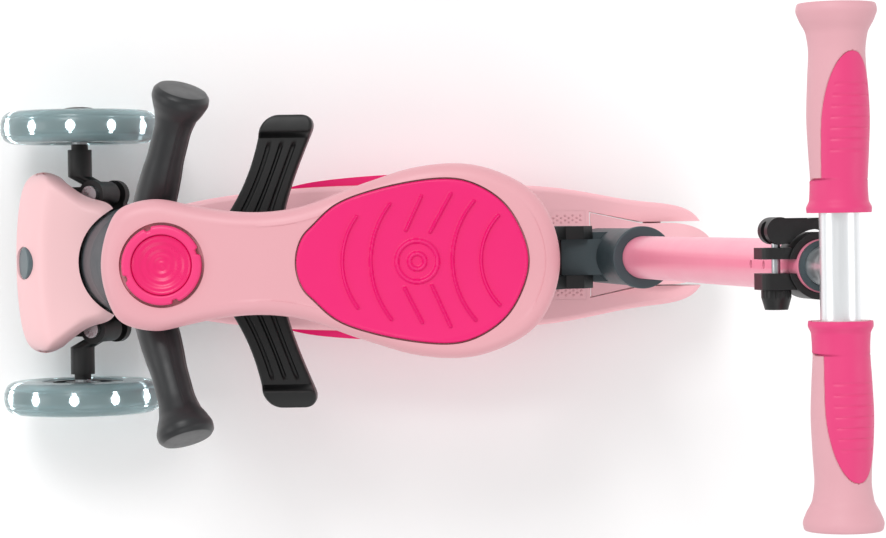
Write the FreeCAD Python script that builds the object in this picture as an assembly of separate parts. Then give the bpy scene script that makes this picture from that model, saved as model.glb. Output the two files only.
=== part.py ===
import FreeCAD, Part
import math
import os

from FreeCAD import Rotation, Vector

# A child's three-wheel scooter with its seat fitted and its T-bar set at the back as a push bar.
# Front is -Y, left is -X, up is +Z. The origin is on the ground, under the middle of the whole object.

# overall sizes, mm
overall_length = 580.5
overall_height = 687.0
gap = 0.3              # air between pieces that move past each other
seam = 0.1             # air between fixed pieces that meet

# wheels
front_wheel_d = 121.0
front_wheel_width = 25.0
front_track = 208.5
rear_wheel_d = 80.0
rear_wheel_width = 34.0
rear_overhang = 76.0   # rear axle to the back end of the whole object
bearing_d = 22.0
bearing_bore = 8.0
bearing_width = 7.0
axle_head_d = 13.0
hub_wall = 2.5
front_hub_d = 62.0
rear_hub_d = 44.0
tyre_lip = 3.0         # how deep a tyre grips its hub
rim_setback = 1.0      # hub rim's face inside the tyre's side
web_thickness = 5.0
web_holes = 6
bearing_setback = 1.2
bearing_race = 2.0     # thickness of a bearing's outer ring
led_count = 10
led_ring_d = 94.0
led_ring_width = 6.0
cap_d = 30.0

# deck
deck_top_z = 80.0
deck_underside_z = 60.0
deck_wall = 3.0
deck_edge_r = 4.0
deck_nose_offset = 30.0    # front axle to the deck's front end
deck_tail_offset = 40.0    # rear axle to the end of the deck's two rear rails
tray_underside_z = 46.0
tray_rim_z = 75.0
tray_wall = 3.0
tray_shelf = 13.0         # the lower shell's outer edge to its hollow
tray_nose_offset = 130.0
tray_tail_offset = 66.0
stiffener_width = 30.0
stiffener_height = 8.0
panel_thickness = 1.5
panel_half = 34.0
panel_length = 26.0
fender_gap = 4.5           # tyre to fender
fender_wall = 3.0
fender_width = 47.0
fender_taper_offset = 10.0  # behind the rear axle, where the tail starts to narrow
rail_gap = 1.2
fender_hinge_offset = 42.0
fender_pin_d = 5.0

# screws
screw_d = 4.0
screw_head_d = 8.4
screw_head_height = 2.6
screw_clear = 0.3

# steering
kingpin_spacing = 104.0
kingpin_offset = 18.0      # behind the front axle
kingpin_z = 56.0
kingpin_lean = 25.0        # degrees, top forward
kingpin_d = 8.0
barrel_d = 20.0
barrel_height = 20.0
ear_thickness = 6.0
ear_d = 22.0
steering_arm = 27.0
tie_pin_d = 5.0
pin_clear = 0.06
stub_d = 18.5
arm_bend = 14.0            # kingpin to where the arm turns straight out
stub_depth = 22.0          # how far a front axle runs into its knuckle
spring_wire_d = 1.2
nose_beam_z = 66.0
tongue_half = 36.0         # chassis tongue let into the deck's lower shell

# nose
hood_top_z = 103.0
hood_rim_z = 79.0
hood_lip_z = 64.0
hood_wall = 2.5
hood_half = 90.0           # more than the hood's half width, for cutting
hood_nose_offset = 48.0    # front axle to the hood's nose
button_d = 24.5
button_lean = 65.0         # degrees, its face from level

# column
column_base_d = 84.0
column_overhang = 29.0     # the column's foot ahead of the deck's end, under the hood
column_top_d = 66.0
column_top_z = 207.0
column_lean = 13.4
column_wall = 4.0
column_shoulder_z = 150.0
column_shoulder_d = 82.0

# seat
seat_top_z = 276.0
seat_skirt = 26.0
seat_wall = 3.0
seat_edge_r = 9.0
seat_nose_offset = 42.0    # behind the front axle
seat_tail_offset = 82.0    # ahead of the rear axle
knob_from_nose = 43.0
knob_d = 55.5
knob_ring_width = 7.5
knob_height = 9.0
knob_stud_d = 8.0
pad_length = 161.0
pad_from_tail = 22.5
pad_proud = 2.0
pad_depth = 5.0
frame_width = 40.0
frame_height = 26.0
head_d = 66.0

# handles and footrests
handle_root_d = 30.0
handle_neck_d = 27.0
handle_flare_d = 41.0
handle_start_x = 16.0
handle_tip_x = 122.0
handle_sweep = 16.7
handle_setback = -17.0       # handle root from the knob's middle
handle_rise = 20.0
handle_z = 228.6
footrest_width = 41.0
footrest_tip_width = 38.0
footrest_tip_x = 107.0
footrest_sweep = 20.0
footrest_top_z = 176.0
footrest_height = 20.0
footrest_lip = 6.0
footrest_from_nose = 102.0
hanger_width = 22.0

# push bar
socket_mouth_z = 212.0
socket_foot_z = 118.0
socket_d = 41.0
socket_rise = 36.0         # how far the socket runs up the push bar past the bracket
socket_rim = 1.5
socket_rim_height = 9.0
socket_neck = 36.0
socket_floor = 6.0         # solid bottom of the socket under the push bar
boss_d = 11.0
socket_gap = 22.0          # stem axis to the back of the bracket
socket_setback = 29.0      # stem axis at the mouth, ahead of the rear axle
bar_d = 22.2
bar_wall = 2.0
stem_d = 30.0
stem_wall = 1.5
bush_length = 45.0
collar_below_top = 53.0
collar_height = 26.0
collar_d = 38.0
jaw_slot = 8.0
jaw_reach = 33.0
nut_jaw_x = 13.2
cam_jaw_x = 10.4
cam_d = 15.4
cam_barrel_d = 8.0
cam_barrel_length = 16.0
lever_height = 18.0
lever_swing = 110.0        # degrees from shut to open
lever_inner_r = 20.6
lever_outer_r = 27.0
lever_arm_height = 14.0
nut_d = 17.0
nut_length = 11.0
nut_knurls = 20
bolt_reach = 22.5
clamp_bolt_d = 5.0
barrel_x = 19.9
bridge_width = 45.0
bridge_length = 66.0
cheek_width = 9.5
release_d = 14.0
release_travel = 4.0
telescope = 100.0

# handlebar grips
handlebar_width = 289.0
bare_bar = 59.0
grip_flare_d = 44.6
grip_belly_d = 34.0
inlay_depth = 2.5
palm_turn = 25.0           # degrees from level to the middle of the inlay
inlay_collar = 18.0
inlay_half = 12.0
inlay_end = 28.0           # outer end of the inlay to the grip's end
grip_end_wall = 6.0

half_length = overall_length / 2
front_axle_y = front_wheel_d / 2 - half_length
front_axle_z = front_wheel_d / 2
rear_axle_y = half_length - rear_overhang
rear_axle_z = rear_wheel_d / 2
bar_y = half_length - grip_flare_d / 2
bar_z = overall_height - grip_flare_d / 2
stem_mouth_y = rear_axle_y - socket_setback
stem_tilt = math.degrees(math.atan2(bar_y - stem_mouth_y, bar_z - socket_mouth_z))
X = Vector(1, 0, 0)
Y = Vector(0, 1, 0)
Z = Vector(0, 0, 1)
SIDES = {"left": -1, "right": 1}


def cylinder(diameter, length, start, along=Z):
    return Part.makeCylinder(diameter / 2, length, start, along)


def tube(outer, inner, length, start, along=Z):
    return cylinder(outer, length, start, along).cut(cylinder(inner, length, start, along))


def block(x0, x1, y0, y1, z0, z1):
    return Part.makeBox(x1 - x0, y1 - y0, z1 - z0, Vector(x0, y0, z0))


def fuse(shapes):
    return shapes[0].multiFuse(shapes[1:]).removeSplitter()


def radial(angle):
    """The unit vector at an angle from +Y in the plane across X."""
    return Vector(0, math.cos(angle), math.sin(angle))


def mirrored(shape):
    return shape.mirror(Vector(0, 0, 0), X)


def both(shape):
    return Part.makeCompound([shape, mirrored(shape)])


def sided(shape, side):
    return shape if side > 0 else mirrored(shape)


def closed_curve(points):
    """A smooth closed curve through the points, its parameter spaced by the root of each step."""
    knots = [0.0]
    for here, there in zip(points, points[1:] + points[:1]):
        knots.append(knots[-1] + math.sqrt(here.distanceToPoint(there)))
    curve = Part.BSplineCurve()
    curve.interpolate(Points=points, Parameters=knots, PeriodicFlag=True)
    return curve


def spline_outline(stations, nose, tail, grow=0.0):
    """A closed plan shape, the same on both sides: stations are (share of the length, half width)."""
    right = [Vector(half, nose + share * (tail - nose), 0) for share, half in stations]
    left = [Vector(-p.x, p.y, 0) for p in reversed(right)]
    curve = closed_curve([Vector(0, nose, 0)] + right + [Vector(0, tail, 0)] + left)
    if grow:
        count = 4 * len(stations)
        span = curve.LastParameter - curve.FirstParameter
        steps = [curve.FirstParameter + span * n / count for n in range(count)]
        curve = closed_curve([curve.value(u) + curve.tangent(u)[0].cross(Z) * grow for u in steps])
    return Part.Wire([curve.toShape()])


def prism(wire, z0, z1):
    face = Part.Face(wire)
    face.translate(Vector(0, 0, z0))
    return face.extrude(Vector(0, 0, z1 - z0))


def polygon(points):
    return Part.makePolygon(points + points[:1])


def side_prism(outline, x0, x1):
    """A solid between two X planes whose side view is the list of (y, z) corners."""
    face = Part.Face(polygon([Vector(x0, y, z) for y, z in outline]))
    return face.extrude(Vector(x1 - x0, 0, 0))


def revolved(profile, base, along):
    """A round solid: profile is (distance along the axis, radius)."""
    wire = polygon([Vector(radius, 0, distance) for distance, radius in profile])
    shape = Part.Face(wire).revolve(Vector(0, 0, 0), Z, 360)
    shape.Placement = FreeCAD.Placement(base, Rotation(Z, along))
    return shape


def rounded_rims(shape, radius, z):
    edges = [e for e in shape.Edges
             if abs(e.BoundBox.ZMin - z) < 0.01 and abs(e.BoundBox.ZMax - z) < 0.01]
    return shape.makeFillet(radius, edges)


def save(name, shape):
    shape.exportStep("parts/" + name + ".step")


# deck ------------------------------------------------------------------------------------------
deck_nose_y = front_axle_y + deck_nose_offset
deck_tail_y = rear_axle_y + deck_tail_offset
tray_nose_y = front_axle_y + tray_nose_offset
tray_tail_y = rear_axle_y - tray_tail_offset
deck_stations = [(0.03, 28), (0.12, 44), (0.28, 53.5), (0.44, 56), (0.58, 55.5), (0.75, 51.5), (0.88, 41),
                 (0.975, 31)]
tray_stations = [(0.03, 38), (0.12, 54), (0.3, 61.5), (0.5, 64), (0.8, 58.5), (0.98, 35)]
fender_hinge = Vector(0, rear_axle_y - fender_hinge_offset, deck_top_z - 9)
fender_r = rear_wheel_d / 2 + fender_gap
fender_front_y = fender_hinge.y - 8
well_half = fender_width / 2 + rail_gap
rail_width = 9.0
nut_height = 5.0
axle_reach = well_half + rail_width
pedal_half = 32.0
pedal_back_y = rear_axle_y - 12
screw_places = [(side * stiffener_width * 1.05, deck_nose_y + (deck_tail_y - deck_nose_y) * share)
                for side in (-1, 1) for share in (0.32, 0.44, 0.56)]


def deck_outline(inset=0.0):
    return spline_outline(deck_stations, deck_nose_y, deck_tail_y, -inset)


def pedal_outline(clear):
    """The brake pedal's plan: wide at its front edge, narrowing to the fender over the wheel."""
    half = fender_width / 2 + clear
    end = rear_axle_y + 2 * fender_r
    right = [Vector(pedal_half + clear, fender_front_y - clear, 0), Vector(half, pedal_back_y + clear, 0),
             Vector(half, end, 0)]
    left = [Vector(-p.x, p.y, 0) for p in reversed(right)]
    return polygon(right + left)


def make_deck_top():
    shell = rounded_rims(prism(deck_outline(), rear_axle_z - 12, deck_top_z), deck_edge_r, deck_top_z)
    side = [(deck_nose_y - 1, deck_underside_z), (rear_axle_y - 62, deck_underside_z),
            (rear_axle_y - 20, rear_axle_z - 11), (rear_axle_y + 8, rear_axle_z - 11),
            (rear_axle_y + 20, rear_axle_z + 6), (deck_tail_y - 3, deck_top_z - 20),
            (deck_tail_y + 1, deck_top_z + 1), (deck_nose_y - 1, deck_top_z + 1)]
    shell = shell.common(side_prism(side, -overall_length, overall_length))
    shell = shell.cut(prism(pedal_outline(rail_gap), rear_axle_z - 20, deck_top_z + 1))
    boss_length = well_half - rear_wheel_width / 2 + 4
    boss_start = Vector(well_half + 4.6 - boss_length, rear_axle_y, rear_axle_z)
    boss = cylinder(bearing_bore + 6, boss_length, boss_start, X)
    shell = shell.fuse(boss).fuse(mirrored(boss))
    hollow_end = fender_front_y - 6
    pocket = prism(deck_outline(deck_wall), deck_underside_z - 1, deck_top_z - deck_wall)
    pocket = pocket.common(block(-100, 100, deck_nose_y, hollow_end, 0, deck_top_z))
    ribs = [block(-60, 60, deck_nose_y + s * (hollow_end - deck_nose_y) - 1.25,
                  deck_nose_y + s * (hollow_end - deck_nose_y) + 1.25, deck_underside_z, deck_top_z)
            for s in (0.15, 0.3, 0.47, 0.65, 0.83)]
    bosses = [cylinder(12, deck_top_z - deck_underside_z, Vector(x, y, deck_underside_z))
              for x, y in screw_places]
    shell = shell.cut(pocket.cut(fuse(ribs + bosses)))
    cuts = [cylinder(screw_d, 16, Vector(x, y, deck_underside_z - 1)) for x, y in screw_places]
    cuts.append(cylinder(fender_pin_d, 200, fender_hinge - X * 100, X))
    cuts.append(cylinder(bearing_bore, 200, Vector(-100, rear_axle_y, rear_axle_z), X))
    pocket_d = axle_head_d + 4
    for x in (axle_reach, -axle_reach - 40):
        cuts.append(cylinder(pocket_d, 40, Vector(x, rear_axle_y, rear_axle_z), X))
    cuts.append(panel_shape(seam))
    for cut in cuts:
        shell = shell.cut(cut)
    return shell


def panel_shape(clear):
    """The anti-slip panel: a thin plate let into the deck ahead of the brake pedal."""
    back = fender_front_y - rail_gap - 3
    front = back - panel_length
    return block(-panel_half - clear, panel_half + clear, front - clear, back + clear,
                 deck_top_z - panel_thickness - clear, deck_top_z + 2 * clear)


def make_deck_panel():
    plate = panel_shape(0)
    feet = side_prism(bridge_outline(0.5), -bridge_width / 2 - 0.5, bridge_width / 2 + 0.5)
    return plate.cut(feet)


def make_tray():
    tray = prism(spline_outline(tray_stations, tray_nose_y, tray_tail_y), tray_underside_z, tray_rim_z)
    tray = rounded_rims(tray, 8, tray_underside_z)
    deck_room = prism(deck_outline(-seam), deck_underside_z - seam, tray_rim_z + 1)
    cavity = prism(spline_outline(tray_stations, tray_nose_y, tray_tail_y, -tray_shelf),
                   tray_underside_z + tray_wall, deck_underside_z + 1)
    bosses = [cylinder(13, deck_underside_z - tray_underside_z, Vector(x, y, tray_underside_z))
              for x, y in screw_places]
    tray = tray.cut(deck_room).cut(cavity.cut(Part.makeCompound(bosses)))
    holes = [cylinder(screw_d + 2 * screw_clear, 40, Vector(x, y, 30)) for x, y in screw_places]
    holes += [cylinder(screw_head_d + 2 * screw_clear, 4, Vector(x, y, tray_underside_z - 1))
              for x, y in screw_places]
    tray = tray.cut(Part.makeCompound(holes))
    return tray.cut(chassis_tongue(seam))


def make_stiffener():
    length = tray_tail_y - tray_nose_y - 60
    base = tray_underside_z + tray_wall + seam
    half = stiffener_width / 2
    start = tray_nose_y + 40
    outer = block(-half, half, start, start + length, base, base + stiffener_height)
    inner = block(2 - half, half - 2, start - 1, start + length + 1, base - 1, base + stiffener_height - 2)
    return outer.cut(inner)


def screw(length, head_at, along):
    head = cylinder(screw_head_d, screw_head_height, head_at, along)
    drive = Part.makeBox(3, 3, 3, Vector(-1.5, -1.5, -1.8))
    drive.Placement = FreeCAD.Placement(head_at, Rotation(Z, along))
    shank = cylinder(screw_d, length, head_at + along * screw_head_height, along)
    return fuse([head, shank]).cut(drive)


def make_screws():
    deck = [screw(20, Vector(x, y, tray_underside_z + 3 - screw_head_height), Z) for x, y in screw_places]
    bridge = [screw(22, Vector(side * (bridge_width / 2 - 1 + screw_head_height), y, z), X * -side)
              for side, y, z in bridge_screws]
    return Part.makeCompound(deck + bridge)


# rear wheel and brake --------------------------------------------------------------------------
def wheel_parts(centre, wheel_d, width, hub_d):
    """Tyre, spoked hub and two bearings of a wheel whose axle lies along X."""
    start = centre - X * (width / 2)
    crown = width / 5
    lip = hub_d / 2 - tyre_lip
    tread = wheel_d / 2
    root = hub_d / 2 + seam
    tyre = revolved([(0, root), (0, tread - crown * 1.4), (crown * 0.4, tread - crown * 0.6),
                     (crown * 1.2, tread - crown * 0.12), (width / 2, tread),
                     (width - crown * 1.2, tread - crown * 0.12), (width - crown * 0.4, tread - crown * 0.6),
                     (width, tread - crown * 1.4), (width, root), (width * 0.66, root), (width * 0.62, lip),
                     (width * 0.38, lip), (width * 0.34, root)], start, X)
    rim_bore = hub_d - 2 * tyre_lip - 4 * hub_wall
    rim = tube(hub_d, rim_bore, width - 2 * rim_setback, start + X * rim_setback, X)
    groove_start = start + X * (width * 0.34 - seam)
    groove = tube(hub_d + 2, 2 * lip - 2 * seam, width * 0.32 + 2 * seam, groove_start, X)
    core_d = bearing_d + 2 * hub_wall
    core = cylinder(core_d, width - 2 * rim_setback, start + X * rim_setback, X)
    web = cylinder(rim_bore + hub_wall, web_thickness, centre - X * (web_thickness / 2), X)
    hole_d = (rim_bore - core_d) / 2 - 2
    holes = []
    if hole_d > 3:
        for number in range(web_holes):
            away = radial(2 * math.pi * number / web_holes) * ((rim_bore + core_d) / 4)
            holes.append(cylinder(hole_d, 2 * web_thickness, centre + away - X * web_thickness, X))
    hub = fuse([rim.cut(groove), core, web.cut(Part.makeCompound(holes)) if holes else web])
    seat = bearing_width + 2 * rim_setback
    bore = [cylinder(bearing_d, seat, start, X), cylinder(bearing_d, seat, start + X * (width - seat), X),
            cylinder(bearing_d - 5, width, start, X)]
    hub = hub.cut(Part.makeCompound(bore))
    bearings = [bearing(start + X * bearing_setback),
                bearing(start + X * (width - bearing_setback - bearing_width))]
    return tyre, hub, Part.makeCompound(bearings)


def bearing(start):
    outer = bearing_d - 2 * bearing_race
    inner = bearing_bore + 2 * bearing_race
    rings = [tube(bearing_d, outer, bearing_width, start, X),
             tube(inner, bearing_bore + 2 * pin_clear, bearing_width, start, X),
             tube(outer, inner, bearing_width - 1, start + X * 0.5, X)]
    return fuse(rings)


def make_rear_axle():
    start = Vector(-axle_reach - nut_height, rear_axle_y, rear_axle_z)
    head = cylinder(axle_head_d, nut_height - seam, start, X)
    return fuse([head, cylinder(bearing_bore, 2 * (axle_reach + nut_height) + 1, start, X)])


def make_rear_nut():
    start = Vector(axle_reach + seam, rear_axle_y, rear_axle_z)
    corners = [start + radial(math.radians(60 * n)) * (axle_head_d / 2) for n in range(6)]
    nut = Part.Face(polygon(corners)).extrude(X * nut_height)
    return nut.cut(cylinder(bearing_bore, nut_height + 2, start - X, X))


def make_fender():
    centre = Vector(-fender_width / 2, rear_axle_y, rear_axle_z)
    arc = tube(2 * (fender_r + fender_wall), 2 * fender_r, fender_width, centre, X)
    keep = side_prism([(rear_axle_y - 26, rear_axle_z + 33), (rear_axle_y, rear_axle_z),
                       (rear_axle_y + 60, rear_axle_z + 4), (rear_axle_y + 60, rear_axle_z + 80),
                       (rear_axle_y - 26, rear_axle_z + 80)], -30, 30)
    taper_y = rear_axle_y + fender_taper_offset
    tail_length = fender_r + fender_wall - fender_taper_offset + 0.5
    tail = []
    for step in range(32):
        turn = 2 * math.pi * step / 32
        tail.append(Vector(fender_width / 2 * math.cos(turn), taper_y + tail_length * math.sin(turn), 0))
    straight = block(-fender_width / 2, fender_width / 2, rear_axle_y - 60, taper_y, 0, 200)
    arc = arc.common(keep).common(fuse([straight, prism(Part.Wire([closed_curve(tail).toShape()]), 0, 200)]))
    top = side_prism([(fender_front_y, deck_top_z - 4), (fender_front_y, deck_top_z - 0.5),
                      (rear_axle_y - 9, rear_axle_z + fender_r + fender_wall - 1),
                      (rear_axle_y - 6, rear_axle_z + fender_r),
                      (rear_axle_y - 20, rear_axle_z + fender_r - 3.5)], -50, 50)
    pedal = top.common(prism(pedal_outline(0), 0, 200))
    lug = fuse([cylinder(fender_pin_d + 7, fender_width, fender_hinge - X * (fender_width / 2), X),
                block(-fender_width / 2, fender_width / 2, fender_hinge.y - 3, fender_hinge.y + 3,
                      fender_hinge.z, deck_top_z - 2)])
    slot = block(-6, 6, fender_hinge.y - 7, fender_hinge.y + 7, fender_hinge.z - 8, fender_hinge.z + 6.2)
    body = fuse([arc, pedal, lug.cut(slot)])
    return body.cut(cylinder(fender_pin_d + 2 * pin_clear, 200, fender_hinge - X * 100, X))


def make_fender_pin():
    reach = well_half + 5
    return cylinder(fender_pin_d, 2 * reach, fender_hinge - X * reach, X)


def make_fender_spring():
    """A coiled torsion spring round the fender pin."""
    pitch = spring_wire_d + 0.3
    helix = Part.makeHelix(pitch, pitch * 5, fender_pin_d / 2 + spring_wire_d + 0.2)
    coil = swept_round(helix, spring_wire_d)
    coil.Placement = FreeCAD.Placement(fender_hinge - X * (pitch * 2.5), Rotation(Z, X))
    return coil


def swept_round(path, wire_d):
    edge = path.Edges[0]
    start = edge.valueAt(edge.FirstParameter)
    circle = Part.Wire(Part.makeCircle(wire_d / 2, start, edge.tangentAt(edge.FirstParameter)))
    return Part.Wire(path.Edges).makePipeShell([circle], True, True)


# steering --------------------------------------------------------------------------------------
kingpin_y = front_axle_y + kingpin_offset
kingpin_x = kingpin_spacing / 2
steer_place = FreeCAD.Placement(Vector(0, kingpin_y, kingpin_z), Rotation(X, kingpin_lean))
local_axle = steer_place.inverse().multVec(Vector(0, front_axle_y, front_axle_z))
barrel_top = 13.0
barrel_bottom = barrel_top - barrel_height
ear_z = barrel_top + gap
spring_room = 6.0


def placed(shape):
    shape.Placement = steer_place.multiply(shape.Placement)
    return shape


def chassis_tongue(clear):
    half = tongue_half + clear
    return block(-half, half, kingpin_y + 4, tray_nose_y + 12 + clear, tray_underside_z - 2,
                 deck_underside_z - 3 + clear)


def make_chassis():
    low_z = barrel_bottom - spring_room - ear_thickness - gap
    plates = []
    for z in (low_z, ear_z):
        plates.append(block(-kingpin_x + 12, kingpin_x - 12, -11, 12, z, z + ear_thickness))
        plates.append(block(-kingpin_x, kingpin_x, -9, 9, z, z + ear_thickness))
        plates += [cylinder(ear_d, ear_thickness, Vector(side * kingpin_x, 0, z)) for side in (-1, 1)]
    spine = block(-30, 30, -6, 12, low_z, ear_z + ear_thickness)
    web = placed(fuse(plates + [spine]))
    nose_beam = block(-30, 30, hood_nose_y + 20, kingpin_y - 4, nose_beam_z, nose_beam_z + ear_thickness)
    chassis = fuse([web, chassis_tongue(0), nose_beam])
    bores = [placed(cylinder(kingpin_d, 80, Vector(side * kingpin_x, 0, -40))) for side in (-1, 1)]
    return chassis.cut(Part.makeCompound(bores))


def make_kingpins():
    low_z = barrel_bottom - spring_room - ear_thickness - gap - 1
    length = ear_z + ear_thickness - low_z
    pin = fuse([cylinder(kingpin_d, length, Vector(kingpin_x, 0, low_z)),
                cylinder(kingpin_d + 5, 3, Vector(kingpin_x, 0, low_z + length + seam))])
    return placed(both(pin))


def make_centring_springs():
    pitch = spring_wire_d + 0.2
    helix = Part.makeHelix(pitch, pitch * 3, kingpin_d / 2 + spring_wire_d)
    coil = swept_round(helix, spring_wire_d)
    coil.translate(Vector(kingpin_x, 0, barrel_bottom - spring_room + 0.7))
    return placed(both(coil))


def make_knuckle(side):
    barrel = cylinder(barrel_d, barrel_height, Vector(kingpin_x, 0, barrel_bottom))
    stub_start = front_track / 2 - front_wheel_width / 2 - 5
    bend_x = kingpin_x + arm_bend
    root = Part.Wire(Part.makeCircle(8.8, Vector(kingpin_x + 4, 0, 2), X))
    tip = Part.Wire(Part.makeCircle(stub_d / 2, Vector(bend_x, local_axle.y, local_axle.z), X))
    arm = Part.makeLoft([root, tip], True)
    straight = cylinder(stub_d, stub_start - bend_x, Vector(bend_x, local_axle.y, local_axle.z), X)
    collar = cylinder(13, 4.2, Vector(stub_start, local_axle.y, local_axle.z), X)
    lever = fuse([block(kingpin_x - 6, kingpin_x + 6, -steering_arm, 0, 3, 11),
                  cylinder(12, 8, Vector(kingpin_x, -steering_arm, 3))])
    body = fuse([barrel, arm, straight, collar, lever])
    cuts = [cylinder(kingpin_d + 2 * pin_clear, 60, Vector(kingpin_x, 0, -30)),
            cylinder(ear_d + 4 * gap, 30, Vector(kingpin_x, 0, barrel_top)),
            cylinder(tie_pin_d + 2 * pin_clear, 30, Vector(kingpin_x, -steering_arm, 0)),
            cylinder(bearing_bore, 26, Vector(stub_start - 20, local_axle.y, local_axle.z), X)]
    return sided(placed(body.cut(Part.makeCompound(cuts))), side)


def make_tie_rod():
    rod = fuse([block(-kingpin_x, kingpin_x, -steering_arm - 6, -steering_arm + 6, 11 + gap, 16),
                cylinder(14, 5 - gap, Vector(kingpin_x, -steering_arm, 11 + gap)),
                cylinder(14, 5 - gap, Vector(-kingpin_x, -steering_arm, 11 + gap))])
    bores = both(cylinder(tie_pin_d, 30, Vector(kingpin_x, -steering_arm, 0)))
    return placed(rod.cut(bores))


def make_tie_pins():
    pin = fuse([cylinder(tie_pin_d, 15.5, Vector(kingpin_x, -steering_arm, 2)),
                cylinder(9, 2, Vector(kingpin_x, -steering_arm, 16 + seam))])
    return placed(both(pin))


# front wheels ----------------------------------------------------------------------------------
def make_front_wheel(side):
    centre = Vector(front_track / 2, front_axle_y, front_axle_z)
    tyre, hub, bearings = wheel_parts(centre, front_wheel_d, front_wheel_width, front_hub_d)
    ring_r = led_ring_d / 2
    start = centre - X * (led_ring_width / 2)
    room = tube(2 * ring_r + 6, 2 * ring_r - 6, led_ring_width + 1, start - X * 0.5, X)
    ring = tube(2 * ring_r + 1, 2 * ring_r - 1.6, led_ring_width, start, X)
    lamps = []
    for number in range(led_count):
        angle = math.radians(360 * (number + 0.5) / led_count)
        spot = start + Vector(0, ring_r * math.cos(angle), ring_r * math.sin(angle))
        lamps.append(cylinder(5, 2.4, spot + X * (led_ring_width / 2) - radial(angle) * 0.2, radial(angle)))
    ring = fuse([ring] + lamps)
    face = centre + X * (front_wheel_width / 2 - 1 + seam)
    dome_profile = [(0, 0), (0, cap_d / 2), (1.6, cap_d / 2 - 0.6), (3.4, cap_d / 3), (4, cap_d / 6), (4, 0)]
    dome = revolved(dome_profile, face, X)
    inner = cylinder(cap_d - 10, 3.2, centre + X * (front_wheel_width / 2 - 2), X)
    cap = dome.cut(inner)
    parts = [tyre.cut(room), hub, ring, bearings, cap]
    return [sided(part, side) for part in parts]


def make_front_axle(side):
    centre = Vector(front_track / 2, front_axle_y, front_axle_z)
    inner = centre - X * (front_wheel_width / 2 + 0.8)
    outer = centre + X * (front_wheel_width / 2 - 1)
    length = (outer - inner).Length + stub_depth
    shank = cylinder(bearing_bore, length, outer - X * length, X)
    head = cylinder(axle_head_d, 1.8, outer - X * 0.05, X)
    spacer = tube(bearing_bore + 4, bearing_bore - 1, 1.8, inner + X * 0.1, X)
    return sided(fuse([shank, head, spacer]), side)


# nose and column -------------------------------------------------------------------------------
hood_nose_y = front_axle_y - hood_nose_offset
hood_tail_y = deck_nose_y + 2
column_base = Vector(0, deck_nose_y + column_base_d / 2 - column_overhang, deck_top_z + seam)
lean = math.radians(column_lean)
button_normal = Vector(0, -math.sin(math.radians(button_lean)), math.cos(math.radians(button_lean)))
button_face = Vector(0, hood_nose_y + 8.6, hood_top_z - 17)
hood_stations = [(0.022, 36), (0.1, 62), (0.2, 68.5), (0.32, 69), (0.5, 61), (0.72, 49.5), (0.93, 42.5)]


def column_solid(grow):
    rings = []
    for z, diameter in ((deck_top_z + seam, column_base_d), (column_shoulder_z, column_shoulder_d),
                        (column_top_z - seam, column_top_d)):
        middle = Vector(0, column_base.y + (z - column_base.z) * math.tan(lean), z)
        rings.append(Part.Wire(Part.makeCircle(diameter / 2 + grow, middle, Z)))
    return Part.makeLoft(rings, True, True)


def hood_solid(inset):
    wire = spline_outline(hood_stations, hood_nose_y, hood_tail_y, -inset)
    body = prism(wire, hood_lip_z, hood_top_z - inset)
    top = hood_top_z - inset
    crest = side_prism([(hood_nose_y - 1, hood_lip_z - 1), (hood_nose_y + inset, hood_lip_z + 10),
                        (hood_nose_y + 17 + inset, top - 3),
                        (hood_nose_y + 30 + inset, top), (hood_tail_y + 1, top),
                        (hood_tail_y + 1, hood_rim_z),
                        (front_axle_y - 8, hood_rim_z), (front_axle_y - 12, hood_lip_z - 1)],
                       -hood_half, hood_half)
    return body.common(crest)


def make_hood():
    shell = hood_solid(0)
    hollow = hood_solid(hood_wall)
    drop = Vector(0, 0, -3)
    front_half = block(-hood_half, hood_half, -overall_length, front_axle_y - 12, 0, hood_lip_z + 10)
    hollow = fuse([hollow, hollow.translated(drop).common(front_half)])
    floor = hood_rim_z - 1
    under = prism(spline_outline(hood_stations, hood_nose_y, hood_tail_y, -hood_wall), floor - 20, floor + 2)
    rear_half = block(-hood_half, hood_half, front_axle_y - 12, hood_half, floor - 30, floor + 3)
    shell = shell.cut(hollow).cut(under.common(rear_half))
    shell = shell.cut(column_solid(1.5))
    shell = shell.cut(prism(deck_outline(-seam), hood_lip_z, deck_top_z + seam))
    bore = cylinder(button_d + 2 * gap, 40, button_face - button_normal * 20, button_normal)
    return shell.cut(bore).Solids[0]


def make_button():
    cap = cylinder(button_d, 9, button_face - button_normal * 7.5, button_normal)
    cap = cap.makeFillet(1.0, [max(cap.Edges, key=lambda e: e.CenterOfMass.dot(button_normal))])
    stem = cylinder(9, 4, button_face - button_normal * 11.4, button_normal)
    return fuse([cap, stem])


def make_column():
    outer = column_solid(0)
    inner = column_solid(-column_wall).common(block(-90, 90, -400, 90, 0, column_top_z - 2 * column_wall))
    bolt = cylinder(knob_stud_d + 2, 60, Vector(0, knob_y, column_top_z - 40))
    return outer.cut(inner).cut(bolt)


# seat ------------------------------------------------------------------------------------------
seat_nose_y = front_axle_y + seat_nose_offset
seat_tail_y = rear_axle_y - seat_tail_offset
seat_bottom_z = seat_top_z - seat_skirt
knob_y = seat_nose_y + knob_from_nose
pad_tail_y = seat_tail_y - pad_from_tail
pad_nose_y = pad_tail_y - pad_length
seat_stations = [(0.021, 30), (0.05, 41), (0.115, 46), (0.155, 44.5), (0.25, 38.3), (0.36, 36), (0.455, 41),
                 (0.54, 51), (0.61, 58.6), (0.675, 64.8), (0.765, 68), (0.825, 66), (0.88, 60), (0.937, 49),
                 (0.978, 31)]
pad_stations = [(0.03, 18), (0.075, 25.8), (0.165, 38.8), (0.315, 48.5), (0.44, 53.3), (0.655, 57),
                (0.785, 52), (0.895, 39.7), (0.966, 22)]
recess_z = seat_top_z - pad_depth
floor_z = recess_z - seat_wall


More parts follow.
